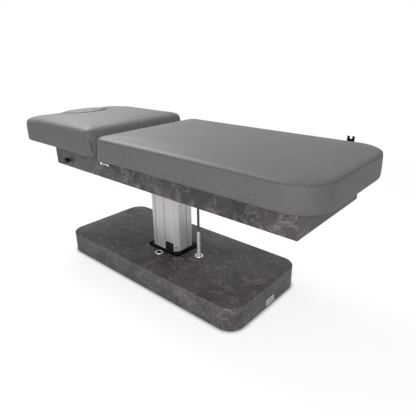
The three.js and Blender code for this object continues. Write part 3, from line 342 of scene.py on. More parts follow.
# Painted steel: base plate, column plates, arms, chassis
# Welded plate and box section with a thin powder coat. Black where it shows, grey primer
# inside the frame. The coat has a fine orange peel and is rubbed thin on the edges.
black_coat = (0.002, 0.0018, 0.002)
grey_coat = (0.072, 0.072, 0.076)
rubbed_steel = (0.06, 0.06, 0.06)
coat_tone_shares = (0.8, 1.2)
coat_rough_shares = (0.85, 1.15)
coat_drift_scale = 9
coat_bump_share = 0.6
steel_roughness = 0.5
steel_shine = 0.06
peel_scale = 700
peel_depth = 0.04 * MM


def grain_group():
    """Fine even grain: a height for the bump and a slow drift for the colour."""
    tree, inlet, outlet = open_group(
        "fine_grain",
        [("Grain Scale", "NodeSocketFloat", peel_scale),
         ("Drift Scale", "NodeSocketFloat", coat_drift_scale)],
        [("Height", "NodeSocketFloat"), ("Drift", "NodeSocketFloat")],
    )
    place = put(tree, "ShaderNodeTexCoord").outputs["Object"]
    tree.links.new(noise(tree, place, inlet["Grain Scale"], Detail=3), outlet["Height"])
    tree.links.new(noise(tree, place, inlet["Drift Scale"], Detail=5), outlet["Drift"])
    return tree


fine_grain = grain_group()


def tinted(colour, share):
    return tuple(min(1, level * share) for level in colour)


def coat(name, colour, rubbed, roughness, grain_scale, grain_depth, edge_share, shine=0.5):
    material, tree, shader = open_material(name)
    grain = use_group(tree, fine_grain, Grain_Scale=grain_scale)
    edges = use_group(tree, edge_wear_and_highlight)
    dark, light = [tinted(colour, share) for share in coat_tone_shares]
    tone = shaded(tree, grain["Drift"], dark, light)
    worn = maths(tree, "MULTIPLY", edges["Mask"], edge_share)
    tree.links.new(mixed(tree, worn, tone, rubbed), shader.inputs["Base Color"])
    roughen(tree, shader, grain["Drift"], *[roughness * share for share in coat_rough_shares])
    shader.inputs["Specular IOR Level"].default_value = shine
    raise_bump(tree, shader, grain["Height"], grain_depth, coat_bump_share, edges["Normal"])
    return material


black_steel = coat("black_steel", black_coat, rubbed_steel, steel_roughness, peel_scale,
                   peel_depth, edge_share=0.3, shine=steel_shine)
grey_steel = coat("grey_steel", grey_coat, rubbed_steel, steel_roughness, peel_scale,
                  peel_depth, edge_share=0.5)
dress(black_steel, "steel_base_plate", "column_foot_plate", "column_head_plate", "forked_hanger",
      "head_arm_near", "head_arm_far", "head_arm_cross", "gas_spring_tube")
dress(grey_steel, "column_anchor_box", "drive_tube", "drive_sleeve", "drive_screw",
      "head_pivot_shaft", "conduit_upper_tube", "chassis_rail_near", "chassis_rail_far",
      "chassis_cross_head", "chassis_cross_column_head", "chassis_cross_column_foot",
      "chassis_cross_foot")

# Plastic and rubber pieces
# Injection moulded black plastic with a spark eroded grain, and black rubber levelling feet
# that are pressed onto steel studs.
plastic_black = (0.008, 0.0075, 0.008)
plastic_scuff = (0.04, 0.04, 0.04)
rubber_black = (0.014, 0.013, 0.013)
plastic_roughness = 0.45
rubber_roughness = 0.8
plastic_shine = 0.15
plastic_grain_scale = 1500
plastic_grain_depth = 0.03 * MM
rubber_grain_scale = 900
rubber_grain_depth = 0.06 * MM
black_plastic = coat("black_plastic", plastic_black, plastic_scuff, plastic_roughness,
                     plastic_grain_scale, plastic_grain_depth, edge_share=0.4,
                     shine=plastic_shine)
black_rubber = coat("black_rubber", rubber_black, plastic_scuff, rubber_roughness,
                    rubber_grain_scale, rubber_grain_depth, edge_share=0.5,
                    shine=plastic_shine)
dress(black_plastic, "drive_motor", "power_supply", "mains_inlet", "column_lower_collar",
      "column_upper_collar", "column_cable_plug", "star_knob")
dress(black_rubber, *[f"levelling_foot_{end}_{side}" for end in ends for side in sides])

# Lifting column
# Three aluminium extrusions with cut corners, satin anodised. Fine drawing lines run up the
# faces, and the stages slide in one another on plastic guides.
anodised = (0.52, 0.50, 0.505)
anodised_light = (0.72, 0.69, 0.70)
anodised_metallic = 0.45
anodised_roughness = (0.30, 0.46)
draw_line_scale = 420
draw_line_stretch = 0.012
draw_line_depth = 0.03 * MM
draw_line_bump_share = 0.5
draw_tone_range = (0.25, 0.75)
draw_rough_range = (0.2, 0.8)
handling_scale = 7
handling_range = (0.35, 0.7)
handling_share = 0.12
extrusion_edge = 0.5 * MM
groove_shade = 7


def anodised_aluminium():
    material, tree, shader = open_material("column_aluminium", metallic=anodised_metallic)
    place = put(tree, "ShaderNodeTexCoord").outputs["Object"]
    stretched = put(tree, "ShaderNodeMapping", {
        "Vector": place, "Scale": (1, 1, draw_line_stretch),
    }).outputs["Vector"]
    lines = noise(tree, stretched, draw_line_scale, Detail=4)
    slow = noise(tree, place, handling_scale, Detail=4)
    edges = use_group(tree, edge_wear_and_highlight, Width=extrusion_edge)
    tone = ramp(tree, lines, (draw_tone_range[0], anodised), (draw_tone_range[1], anodised_light))
    touched = spread(tree, slow, *handling_range, to_high=handling_share)
    handled = mixed(tree, touched, tone, anodised)
    hollow = use_group(tree, hollow_shade, Depth=groove_shade)["Shade"]
    tree.links.new(mixed(tree, 1.0, handled, hollow, "MULTIPLY"), shader.inputs["Base Color"])
    tree.links.new(spread(tree, lines, *draw_rough_range, *anodised_roughness),
                   shader.inputs["Roughness"])
    raise_bump(tree, shader, lines, draw_line_depth, draw_line_bump_share, edges["Normal"])
    return material


column_aluminium = anodised_aluminium()
dress(column_aluminium, "column_outer_stage", "column_middle_stage", "column_inner_stage")

# Bright pieces: cable ports, cable tube, gas spring rod, release lever
# Chrome plated steel, polished, with a few hair scratches. The cable tube is satin instead,
# and it stands in its port and slides together as the couch comes down.
chrome_tone = (0.90, 0.89, 0.89)
satin_tone = (0.78, 0.775, 0.775)
polish_dark_share = 0.94
polish_rough_shares = (0.6, 1.5)
chrome_roughness = 0.12
satin_roughness = 0.32
satin_metallic = 0.25
scratch_scale = 300
scratch_depth = 0.01 * MM
scratch_bump_share = 0.3
bright_edge = 1 * MM


def scratch(tree, shader, grain):
    edges = use_group(tree, edge_wear_and_highlight, Width=bright_edge)
    raise_bump(tree, shader, grain["Height"], scratch_depth, scratch_bump_share, edges["Normal"])


def polished(name, colour, roughness, metallic):
    material, tree, shader = open_material(name, metallic=metallic)
    grain = use_group(tree, fine_grain, Grain_Scale=scratch_scale)
    tone = shaded(tree, grain["Drift"], tinted(colour, polish_dark_share), colour)
    tree.links.new(tone, shader.inputs["Base Color"])
    roughen(tree, shader, grain["Height"], *[roughness * share for share in polish_rough_shares])
    scratch(tree, shader, grain)
    return material


bright_chrome = polished("bright_chrome", chrome_tone, chrome_roughness, metallic=1.0)
satin_tube = polished("satin_tube", satin_tone, satin_roughness, satin_metallic)
dress(bright_chrome, "cable_port", "conduit_port", "gas_spring_rod", "release_lever")
dress(satin_tube, "conduit_lower_tube", "conduit_middle_tube")

# Label plate
# A small thin aluminium plate on the foot end of the plinth. It is left bare, with a pale
# printed rim round a greyer field, and it is glued on.
plate_rim = (0.72, 0.70, 0.71)
plate_field = (0.42, 0.38, 0.40)
plate_rim_share = 0.10
plate_tone_levels = (0.93, 1.04)
plate_metallic = 0.4
plate_roughness = (0.32, 0.50)


def label_metal():
    material, tree, shader = open_material("plate_metal", metallic=plate_metallic)
    place = put(tree, "ShaderNodeTexCoord").outputs["Generated"]
    parts = put(tree, "ShaderNodeSeparateXYZ", {"Vector": place}).outputs
    middle = 0.5
    from_middle = [
        put(tree, "ShaderNodeMath", {0: maths(tree, "SUBTRACT", parts[axis], middle)},
            operation="ABSOLUTE").outputs["Value"]
        for axis in ("Y", "Z")
    ]
    farthest = maths(tree, "MAXIMUM", *from_middle)
    rim = maths(tree, "GREATER_THAN", farthest, middle - plate_rim_share)
    grain = use_group(tree, fine_grain, Grain_Scale=scratch_scale)
    tone = mixed(tree, rim, plate_field, plate_rim)
    drift = shaded(tree, grain["Drift"], *[grey(level) for level in plate_tone_levels])
    tree.links.new(mixed(tree, 1.0, tone, drift, "MULTIPLY"), shader.inputs["Base Color"])
    roughen(tree, shader, grain["Height"], *plate_roughness)
    scratch(tree, shader, grain)
    return material


dress(label_metal(), "label_plate")

# Upholstery boards
# Birch plywood, bare, with fine streaks along its length and darker glue lines on its edge.
# The foam is glued on top, and the cover is stapled round underneath.
birch_light = (0.52, 0.40, 0.26)
birch_dark = (0.36, 0.25, 0.15)
birch_streak_scale = 90
birch_stretch = 0.08
birch_depth = 0.1 * MM
birch_bump_share = 0.5
birch_roughness = (0.62, 0.78)
ply_pitch = 1.5 * MM
glue_levels = ((0.1, 0.75), (0.4, 1))


def bare_plywood():
    material, tree, shader = open_material("bare_plywood")
    place = put(tree, "ShaderNodeTexCoord").outputs["Object"]
    stretched = put(tree, "ShaderNodeMapping", {
        "Vector": place, "Scale": (birch_stretch, 1, 1),
    }).outputs["Vector"]
    streaks = noise(tree, stretched, birch_streak_scale, Detail=7, Distortion=0.5)
    height = put(tree, "ShaderNodeSeparateXYZ", {"Vector": place}).outputs["Z"]
    plies = maths(tree, "PINGPONG", height, ply_pitch)
    wood = shaded(tree, streaks, birch_dark, birch_light)
    glued = grey_ramp(tree, maths(tree, "DIVIDE", plies, ply_pitch), glue_levels)
    tree.links.new(mixed(tree, 1.0, wood, glued, "MULTIPLY"), shader.inputs["Base Color"])
    roughen(tree, shader, streaks, *birch_roughness)
    raise_bump(tree, shader, streaks, birch_depth, birch_bump_share)
    return material


dress(bare_plywood(), "mattress_board", "head_board")

# Main mattress
# Foam on a plywood board under a grey coated cover. The cover is sewn round the top edge with
# a double row of stitches, and it is drawn round the board and fixed underneath.
cover_light = (0.160, 0.150, 0.154)
cover_dark = (0.138, 0.130, 0.134)
cover_tone_range = (0.25, 0.75)
cover_roughness = (0.46, 0.60)
cover_shine = 0.28
cover_sheen = 0.03
cover_sheen_roughness = 0.5
cover_drift_scale = 3
cover_grain_scale = 520
cover_grain_depth = 0.12 * MM
cover_bump_share = 0.5
pore_scale = 1.4 * cover_grain_scale
pore_levels = ((0.05, 0.90), (0.5, 1.03))
mottle_scale = 85
mottle_levels = ((0.35, 0.95), (0.65, 1.05))
fold_reach = 45 * MM
fold_shade = 1.4
wave_scale = 6
wave_depth = 0.7 * MM
wave_bump_share = 0.6
shift_x = -37 * MM
fit_gap = 0.3 * MM
frame_top = 682 * MM
board_inset = 14 * MM
board_thickness = 15 * MM
cushion_foot = 12 * MM
cushion_bulge = 3 * MM
cushion_pull = 4 * MM
lean_length = 130 * MM
foot_round_share = 0.35
foot_spare = 7 * MM
under_inset_share = 0.5
wall_rise_shares = (0.18, 0.3, 0.42, 0.57, 0.72, 0.86, 1)
wall_inset_shares = (0.7, 0.25, 0, 0.02, 0.2, 0.55, 1)
main_lean_share = 0.18
cushion_bottom = frame_top + fit_gap
main_head_x = -183 * MM
main_plan = {
    "head_x": main_head_x,
    "foot_x": 1019 * MM,
    "half_width": 357 * MM,
    "head_corner": 64 * MM,
    "foot_corner": 155 * MM,
    "edge_rise": 107 * MM,
    "top_rise": 130 * MM,
    "crown": 10 * MM,
    "edge_run": 50 * MM,
    "corner_steps": 20,
    "short_steps": 24,
    "long_steps": 40,
    "edge_steps": 12,
    "crown_steps": 12,
    "lean": lambda x: main_lean_share * (1 - smooth(x, main_head_x, main_head_x + lean_length)),
    "drop": lambda x, z: 0,
}
swell = 3 * MM
swell_over_share = 1.3
foam_give = 1 * MM
cushion_voxel = 11 * MM
foam_pressure = 4
cover_stiffness = 8
cover_bending = 2
cloth_quality = 4
last_frame = 20
even_out_share = 0.5
even_out_rounds = 4
crease_angle = 40
held_height = cushion_bottom + cushion_foot
hold_blend = 45 * MM


def coated_cover(name, light, dark):
    material, tree, shader = open_material(name)
    grain = use_group(tree, fine_grain, Grain_Scale=cover_grain_scale,
                      Drift_Scale=cover_drift_scale)
    place = put(tree, "ShaderNodeTexCoord").outputs["Object"]
    cells = put(tree, "ShaderNodeTexVoronoi", {
        "Vector": place, "Scale": pore_scale,
    }).outputs["Distance"]
    tone = ramp(tree, grain["Drift"], (cover_tone_range[0], dark), (cover_tone_range[1], light))
    pores = grey_ramp(tree, cells, pore_levels)
    hollow = use_group(tree, hollow_shade, Reach=fold_reach, Depth=fold_shade)["Shade"]
    mottle = grey_ramp(tree, noise(tree, place, mottle_scale, Detail=4), mottle_levels)
    grained = mixed(tree, 1.0, mixed(tree, 1.0, tone, pores, "MULTIPLY"), mottle, "MULTIPLY")
    tree.links.new(mixed(tree, 1.0, grained, hollow, "MULTIPLY"), shader.inputs["Base Color"])
    roughen(tree, shader, grain["Height"], *cover_roughness)
    waves = put(tree, "ShaderNodeBump", {
        "Height": noise(tree, place, wave_scale, Detail=1), "Distance": wave_depth,
        "Strength": wave_bump_share,
    }).outputs["Normal"]
    raise_bump(tree, shader, maths(tree, "ADD", cells, grain["Height"]), cover_grain_depth,
               cover_bump_share, waves)
    shader.inputs["Sheen Weight"].default_value = cover_sheen
    shader.inputs["Sheen Roughness"].default_value = cover_sheen_roughness
    shader.inputs["Specular IOR Level"].default_value = cover_shine
    return material


grey_cover = coated_cover("grey_cover", cover_light, cover_dark)


def outline(plan, inset):
    """Plan outline drawn in by an inset, as points that keep their order for every inset."""
    corners = (
        (plan["foot_x"], -1, plan["foot_corner"], -pi / 2),
        (plan["foot_x"], 1, plan["foot_corner"], 0),
        (plan["head_x"], 1, plan["head_corner"], pi / 2),
        (plan["head_x"], -1, plan["head_corner"], pi),
    )
    arcs = []
    for end_x, side, radius, start in corners:
        middle_x = end_x - radius if end_x == plan["foot_x"] else end_x + radius
        middle_y = side * (plan["half_width"] - radius)
        reach = radius - inset
        steps = plan["corner_steps"]
        arcs.append([
            (middle_x + reach * cos(start + pi / 2 * step / steps),
             middle_y + reach * sin(start + pi / 2 * step / steps))
            for step in range(steps + 1)
        ])
    points = []
    for number, arc in enumerate(arcs):
        points.extend(arc)
        here, there = arc[-1], arcs[(number + 1) % len(arcs)][0]
        steps = plan["short_steps"] if number % 2 == 0 else plan["long_steps"]
        points.extend(
            (here[0] + (there[0] - here[0]) * step / steps,
             here[1] + (there[1] - here[1]) * step / steps)
            for step in range(1, steps)
        )
    return points


def smooth(value, start, end):
    share = min(1, max(0, (value - start) / (end - start)))
    return share * share * (3 - 2 * share)


def place_on(plan, x, y, z):
    """Leans the end at the gap, pulls the long sides in and lowers the head end."""
    middle = (plan["head_x"] + plan["foot_x"]) / 2
    half = (plan["foot_x"] - plan["head_x"]) / 2
    pull = cushion_pull / plan["half_width"] * max(0, 1 - ((x - middle) / half) ** 2)
    return (
        x + plan["lean"](x) * (z - cushion_bottom) + shift_x,
        y * (1 - pull),
        z - plan["drop"](x, z),
    )


def cushion_rings(plan):
    """Outlines from the middle of the underside, up the sides and over the crown."""
    rise = plan["top_rise"] - plan["edge_rise"] - plan["crown"]
    rings = []

    def add(points, height):
        rings.append([place_on(plan, x, y, cushion_bottom + height) for x, y in points])

    add(outline(plan, plan["head_corner"] * under_inset_share), -foot_spare)
    add(outline(plan, cushion_foot), -foot_spare)
    add(outline(plan, cushion_foot * foot_round_share), -foot_spare * foot_round_share)
    add(outline(plan, cushion_bulge), cushion_foot)
    for rise_share, inset_share in zip(wall_rise_shares, wall_inset_shares):
        add(outline(plan, cushion_bulge * inset_share), plan["edge_rise"] * rise_share)
    for step in range(1, plan["edge_steps"] + 1):
        angle = pi / 2 * step / plan["edge_steps"]
        inset = cushion_bulge + plan["edge_run"] * (1 - cos(angle))
        add(outline(plan, inset), plan["edge_rise"] + rise * sin(angle))
    rim = outline(plan, cushion_bulge + plan["edge_run"])
    centre_x = (plan["head_x"] + plan["foot_x"]) / 2
    for step in range(1, plan["crown_steps"] + 1):
        share = 1 - step / (plan["crown_steps"] + 1)
        height = plan["edge_rise"] + rise + plan["crown"] * (1 - share * share)
        add([(centre_x + (x - centre_x) * share, y * share) for x, y in rim], height)
    return rings


def pocket_rings(plan):
    """The pocket in the foam's underside that the board sits in."""
    pocket = outline(plan, board_inset - fit_gap)
    return [
        [place_on(plan, x, y, height) for x, y in pocket]
        for height in (frame_top - cushion_foot, frame_top + board_thickness + fit_gap)
    ]


def join_rings(work, low, high):
    for step in range(len(low)):
        following = (step + 1) % len(low)
        work.faces.new((low[step], low[following], high[following], high[step]))


def skin(name, rings):
    """A closed mesh stretched over rings of points, with a fan at each end."""
    work = bmesh.new()
    levels = [[work.verts.new(point) for point in ring] for ring in rings]
    count = len(rings[0])
    for low, high in zip(levels, levels[1:]):
        join_rings(work, low, high)
    for ring, turned in ((levels[0], True), (levels[-1], False)):
        middle = sum((vertex.co for vertex in ring), Vector()) / count
        centre = work.verts.new(middle)
        for step in range(count):
            pair = (ring[step], ring[(step + 1) % count])
            work.faces.new((centre, *(reversed(pair) if turned else pair)))
    bmesh.ops.recalc_face_normals(work, faces=work.faces)
    return piece_of(name, work)


def piece_of(name, work):
    mesh = bpy.data.meshes.new(name)
    work.to_mesh(mesh)
    work.free()
    piece = bpy.data.objects.new(name, mesh)
    bpy.context.scene.collection.objects.link(piece)
    return piece


def apply_modifiers(piece):
    evaluated = piece.evaluated_get(bpy.context.evaluated_depsgraph_get())
    mesh = bpy.data.meshes.new_from_object(evaluated)
    old = piece.data
    piece.modifiers.clear()
    piece.data = mesh
    bpy.data.meshes.remove(old)


def remesh(piece, size):
    step = piece.modifiers.new("even_faces", "REMESH")
    step.mode = "VOXEL"
    step.voxel_size = size
    even = piece.modifiers.new("even_out", "SMOOTH")
    even.factor = even_out_share
    even.iterations = even_out_rounds
    apply_modifiers(piece)


def draw_in(piece, amount, held_below):
    """Makes the foam a little smaller than the finished cushion, so that it can swell."""
    for vertex in piece.data.vertices:
        share = smooth(vertex.co.z, held_below, held_below + hold_blend)
        vertex.co -= vertex.normal * amount * share


def let_swell(piece, cap, held_below):
    """Foam presses the cover outwards, and hardly lets it in where the cover is pulled tight."""
    start = [vertex.co.copy() for vertex in piece.data.vertices]
    held = piece.vertex_groups.new(name="fixed")
    low = [vertex.index for vertex in piece.data.vertices if vertex.co.z < held_below]
    held.add(low, 1, "REPLACE")
    cover = piece.modifiers.new("cover", "CLOTH")
    cover.settings.quality = cloth_quality
    cover.settings.use_pressure = True
    cover.settings.uniform_pressure_force = foam_pressure
    cover.settings.effector_weights.gravity = 0
    cover.settings.vertex_group_mass = held.name
    cover.settings.tension_stiffness = cover_stiffness
    cover.settings.compression_stiffness = cover_stiffness
    cover.settings.bending_stiffness = cover_bending
    cover.point_cache.frame_start = 1
    cover.point_cache.frame_end = last_frame
    for number in range(1, last_frame + 1):
        bpy.context.scene.frame_set(number)
    evaluated = piece.evaluated_get(bpy.context.evaluated_depsgraph_get())
    moved = [vertex.co.copy() for vertex in evaluated.data.vertices]
    piece.modifiers.remove(cover)
    bpy.context.scene.frame_set(1)
    outward = [vertex.normal.copy() for vertex in piece.data.vertices]
    for vertex, old, new, normal in zip(piece.data.vertices, start, moved, outward):
        move = new - old
        room = foam_give + (cap - foam_give) * smooth(move.dot(normal), -cap, cap)
        if move.length > room:
            vertex.co = old + move.normalized() * room
        else:
            vertex.co = new


def subdivide(piece):
    finer = piece.modifiers.new("finer", "SUBSURF")
    finer.levels = 1
    finer.render_levels = 1
    apply_modifiers(piece)


def carve(piece, rings):
    """Takes the solid between the rings out of the piece."""
    cutter = skin(piece.name + "_cut", rings)
    cutting = piece.modifiers.new("cut", "BOOLEAN")
    cutting.operation = "DIFFERENCE"
    cutting.solver = "MANIFOLD"
    cutting.object = cutter
    apply_modifiers(piece)
    bpy.data.objects.remove(cutter)


def shade_smooth(piece, crease=None):
    piece.data.polygons.foreach_set("use_smooth", [True] * len(piece.data.polygons))
    if crease is not None:
        piece.data.set_sharp_from_angle(angle=radians(crease))


def finished_cushion(name, rings, voxel, room, cuts=(), folds=None):
    """A cushion stretched over its rings, swollen, folded and cut."""
    piece = skin(name, rings)
    remesh(piece, voxel)
    draw_in(piece, room, held_height)
    let_swell(piece, room * swell_over_share, held_height)
    subdivide(piece)
    if folds is not None:
        folds(piece)
    for vertex in piece.data.vertices:
        vertex.co.z = max(vertex.co.z, cushion_bottom)
    for cut_rings in cuts:
        carve(piece, cut_rings)
    shade_smooth(piece, crease_angle)
    piece.data.materials.clear()
    piece.data.materials.append(grey_cover)
    return piece


main_mattress = finished_cushion("main_mattress_cover", cushion_rings(main_plan), cushion_voxel,
                                 swell, [pocket_rings(main_plan)])
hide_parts("main_mattress")
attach(main_mattress, "lift_frame")

# Seam of the main mattress
# The top panel and the side band of the cover meet in a seam, and a row of stitches runs on
# either side of it. The seam is coloured darker than the cover, a painted shade for its groove.
thread_tone = (0.125, 0.118, 0.121)
# Painted shade: the seam is darker than the cover to stand for the shadow in its groove.
seam_shadow_tone = (0.088, 0.083, 0.086)
seam_radius = 0.8 * MM
seam_sink_share = 0.35
stitch_length = 4.2 * MM
stitch_pitch = 6 * MM
stitch_radius = 0.42 * MM
stitch_offset = 4.5 * MM
thread_dark_share = 0.8
thread_roughness = (0.5, 0.7)
thread_grain_scale = 2400
thread_grain_depth = 0.1 * MM
thread_bump_share = 0.6
round_sides = 6
bead_place_shares = (-0.5, -0.3, 0.3, 0.5)
bead_width_shares = (0.35, 1, 1, 0.35)


def thread(name, tone):
    material, tree, shader = open_material(name)
    grain = use_group(tree, fine_grain, Grain_Scale=thread_grain_scale)
    fibres = shaded(tree, grain["Height"], tinted(tone, thread_dark_share), tone)
    tree.links.new(fibres, shader.inputs["Base Color"])
    roughen(tree, shader, grain["Height"], *thread_roughness)
    raise_bump(tree, shader, grain["Height"], thread_grain_depth, thread_bump_share)
    return material


sewing_thread = thread("sewing_thread", thread_tone)
seam_shadow = thread("seam_shadow", seam_shadow_tone)


def seam_path(plan, height, tree, spacing):
    """Points, normals and directions on the cover, all round at a height and evenly spaced."""
    ring = [Vector(place_on(plan, x, y, cushion_bottom + height)) for x, y in outline(plan, 0)]
    path = []
    carry = 0
    for here, there in zip(ring, ring[1:] + ring[:1]):
        span = (there - here).length
        along = carry
        while along < span:
            spot, normal, _, _ = tree.find_nearest(here.lerp(there, along / span))
            path.append((spot, normal, (there - here).normalized()))
            along += spacing
        carry = along - span
    return path


def round_ring(work, centre, across, out, radius):
    angles = [2 * pi * step / round_sides for step in range(round_sides)]
    return [
        work.verts.new(centre + (across * cos(angle) + out * sin(angle)) * radius)
        for angle in angles
    ]


def bead(work, middle, along, out, length, radius):
    """A short rounded rod that lies along a direction, like one stitch."""
    across = along.cross(out).normalized()
    levels = [
        round_ring(work, middle + along * length * place, across, out, radius * width)
        for place, width in zip(bead_place_shares, bead_width_shares)
    ]
    for low, high in zip(levels, levels[1:]):
        join_rings(work, low, high)
    work.faces.new(levels[0][::-1])
    work.faces.new(levels[-1])


def seam_tube(name, path, radius):
    """A thin tube that runs all round and is sunk a little into the cover."""
    work = bmesh.new()
    rows = [
        round_ring(work, spot - normal * radius * seam_sink_share,
                   along.cross(normal).normalized(), normal, radius)
        for spot, normal, along in path
    ]
    for low, high in zip(rows, rows[1:] + rows[:1]):
        join_rings(work, low, high)
    bmesh.ops.recalc_face_normals(work, faces=work.faces)
    return piece_of(name, work)


def tree_of(piece):
    work = bmesh.new()
    work.from_mesh(piece.data)
    tree = BVHTree.FromBMesh(work)
    work.free()
    return tree


def sew_on(piece, material, body):
    """Colours a seam or its stitches and lets them move with the cushion."""
    piece.data.materials.append(material)
    shade_smooth(piece)
    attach(piece, body)


cover_surface = tree_of(main_mattress)
stitches = bmesh.new()
for offset in (-stitch_offset, stitch_offset):
    for spot, normal, along in seam_path(main_plan, main_plan["edge_rise"] + offset,
                                         cover_surface, stitch_pitch):
        bead(stitches, spot, along, normal, stitch_length, stitch_radius)
sew_on(piece_of("main_mattress_stitches", stitches), sewing_thread, "lift_frame")
sew_on(
    seam_tube("main_mattress_seam",
              seam_path(main_plan, main_plan["edge_rise"], cover_surface, stitch_pitch),
              seam_radius),
    seam_shadow,
    "lift_frame",
)

# Head cushion
# The same foam and cover on a board of its own. Its foot end leans over the gap, the fullness
# is taken up in a small V-shaped pleat at each foot corner, and a face opening goes right
# through.
head_head_x = -945 * MM
head_foot_x = -191 * MM
head_edge_rise = 117 * MM
head_top_rise = 149 * MM
head_taper = 15 * MM
head_taper_length = 280 * MM
head_lean_share = 0.26
head_foot_corner = 46 * MM
head_half_width = 346 * MM
face_x = -761 * MM
face_half_length = 113 * MM
face_half_width = 135 * MM
face_power = 2.5
face_flare = 16 * MM
flare_shares = (0, 0.2, 0.4, 0.6, 0.8, 1, 1.6)
oval_sides = 96
pleat_high = 784 * MM
pleat_low = 694 * MM
pleat_start_angles = (47, 20)
pleat_end_angles = (38, 34)
pleat_depth = 3 * MM
pleat_width = 8 * MM
pleat_cut_depth = 15 * MM
pleat_cut_reach = 8 * MM
pleat_cut_half_width = 6.5 * MM
pleat_cut_steps = 16
pleat_fullness = 0.45
pleat_fade = 16 * MM
pleat_arc_x = head_foot_x - head_foot_corner + shift_x
pleat_arc_y = head_half_width - head_foot_corner


def head_fall(x):
    """How far the top has come down towards the head end."""
    return head_taper * (1 - smooth(x, head_head_x, head_head_x + head_taper_length))


def head_drop(x, z):
    """The upper half of the sides comes down with the top."""
    middle = cushion_bottom + head_edge_rise / 2
    return head_fall(x) * smooth(z, middle, cushion_bottom + head_top_rise)


head_plan = {
    "head_x": head_head_x,
    "foot_x": head_foot_x,
    "half_width": head_half_width,
    "head_corner": 112 * MM,
    "foot_corner": head_foot_corner,
    "edge_rise": head_edge_rise,
    "top_rise": head_top_rise,
    "crown": 5 * MM,
    "edge_run": 52 * MM,
    "corner_steps": 20,
    "short_steps": 24,
    "long_steps": 30,
    "edge_steps": 12,
    "crown_steps": 12,
    "lean": lambda x: -head_lean_share * smooth(x, head_foot_x - lean_length, head_foot_x),
    "drop": head_drop,
}


def face_top(x):
    """Height of the cushion's top beside the face opening."""
    return cushion_bottom + head_top_rise - head_fall(x)


def face_oval(grow):
    """Plan of the face opening: an oval that is fuller at its corners than an ellipse."""
    def fuller(value):
        return (1 if value > 0 else -1) * abs(value) ** (2 / face_power)

    angles = [2 * pi * step / oval_sides for step in range(oval_sides)]
    return [
        (face_x + (face_half_length + grow) * fuller(cos(angle)),
         (face_half_width + grow) * fuller(sin(angle)))
        for angle in angles
    ]


def face_hole_rings():
    """The opening goes straight up and flares out towards the top."""
    flare_depth = face_flare + head_plan["crown"]
    rings = [[(x + shift_x, y, frame_top - cushion_foot) for x, y in face_oval(0)]]
    for share in flare_shares:
        rings.append([
            (x + shift_x, y, face_top(x) - flare_depth * (1 - share))
            for x, y in face_oval(face_flare * share * share)
        ])
    return rings


def press_pleats(piece):
    """Two folds that run together towards the bottom at each corner of the foot end."""
    for vertex in piece.data.vertices:
        spot = vertex.co
        if spot.z > pleat_high + pleat_fade or spot.x < pleat_arc_x - 2 * head_foot_corner:
            continue
        side = 1 if spot.y > 0 else -1
        lean = head_plan["lean"](head_foot_x) * (spot.z - cushion_bottom)
        away = Vector((spot.x - lean - pleat_arc_x, spot.y * side - pleat_arc_y, 0))
        if away.x < 0 or away.y < 0 or away.length == 0:
            continue
        down = min(1, max(0, (pleat_high - spot.z) / (pleat_high - pleat_low)))
        strength = 1 - smooth(spot.z, pleat_high - pleat_fade, pleat_high + pleat_fade)
        strength *= smooth(spot.z, pleat_low, pleat_low + pleat_fade)
        turn = Vector((1, 0, 0)).angle(away)
        for start, end in zip(pleat_start_angles, pleat_end_angles):
            fold = radians(start + (end - start) * down)
            off = (turn - fold) * away.length
            push = pleat_depth * strength * exp(-(off / pleat_width) ** 2)
            spot.x -= away.normalized().x * push
            spot.y -= away.normalized().y * push * side


def pleat_cuts():
    """A narrow wedge for each fold. It is deepest in the middle and runs out at both ends."""
    cuts = []
    for side in (1, -1):
        for start, end in zip(pleat_start_angles, pleat_end_angles):
            rings = []
            for step in range(pleat_cut_steps + 1):
                share = step / pleat_cut_steps
                height = pleat_low + (pleat_high - pleat_low) * share
                lean = head_plan["lean"](head_foot_x) * (height - cushion_bottom)
                fold = radians(end + (start - end) * share)
                out = Vector((cos(fold), side * sin(fold), 0))
                across = Vector((-sin(fold), side * cos(fold), 0))
                middle = Vector((pleat_arc_x + lean, side * pleat_arc_y, height))
                depth = pleat_cut_depth * sin(pi * share) ** pleat_fullness
                tip = middle + out * (head_foot_corner + fit_gap - depth)
                face = middle + out * (head_foot_corner + pleat_cut_reach)
                wide = across * pleat_cut_half_width
                ring = [tip, face - wide, face + wide]
                rings.append(ring if side > 0 else ring[::-1])
            cuts.append(rings)
    return cuts


head_cuts = [pocket_rings(head_plan), face_hole_rings(), *pleat_cuts()]
head_cushion = finished_cushion("head_cushion_cover", cushion_rings(head_plan), cushion_voxel,
                                swell, head_cuts, press_pleats)
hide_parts("head_cushion")
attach(head_cushion, "head_section")

# Face plug
# A small loose cushion that fills the face opening until it is needed. It has the same foam
# and cover, and it is only pushed in, so that it lifts straight out.
soft_gap = 3.5 * MM
plug_edge = 9 * MM
plug_crown = 5 * MM
plug_stand = 9 * MM
plug_low_inset_share = 0.25
plug_low_rise = 3 * MM
plug_middle_inset = face_half_width / 2
plug_middle_drop = plug_crown / 3
plug_inset_shares = (0, 0.04, 0.14, 0.3, 0.5, 0.8, 1.2)
plug_drop_shares = (1, 0.8, 0.62, 0.4, 0.2, 0.05, 0)
plug_low = frame_top + board_thickness + fit_gap
plug_swell = 2 * MM
plug_voxel = 6 * MM


def plug_ring(grow, drop):
    return [(x + shift_x, y, face_top(x) + plug_stand - drop) for x, y in face_oval(grow)]


def plug_rings():
    rings = [
        [(x + shift_x, y, plug_low)
         for x, y in face_oval(-soft_gap - plug_edge * plug_low_inset_share)],
        [(x + shift_x, y, plug_low + plug_low_rise) for x, y in face_oval(-soft_gap)],
    ]
    for inset_share, drop_share in zip(plug_inset_shares, plug_drop_shares):
        rings.append(plug_ring(-soft_gap - plug_edge * inset_share,
                               plug_crown + plug_edge * drop_share))
    rings.append(plug_ring(-plug_middle_inset, plug_middle_drop))
    return rings


face_plug = finished_cushion("face_plug_cover", plug_rings(), plug_voxel, plug_swell)
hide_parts("face_plug")
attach(face_plug, "face_plug")

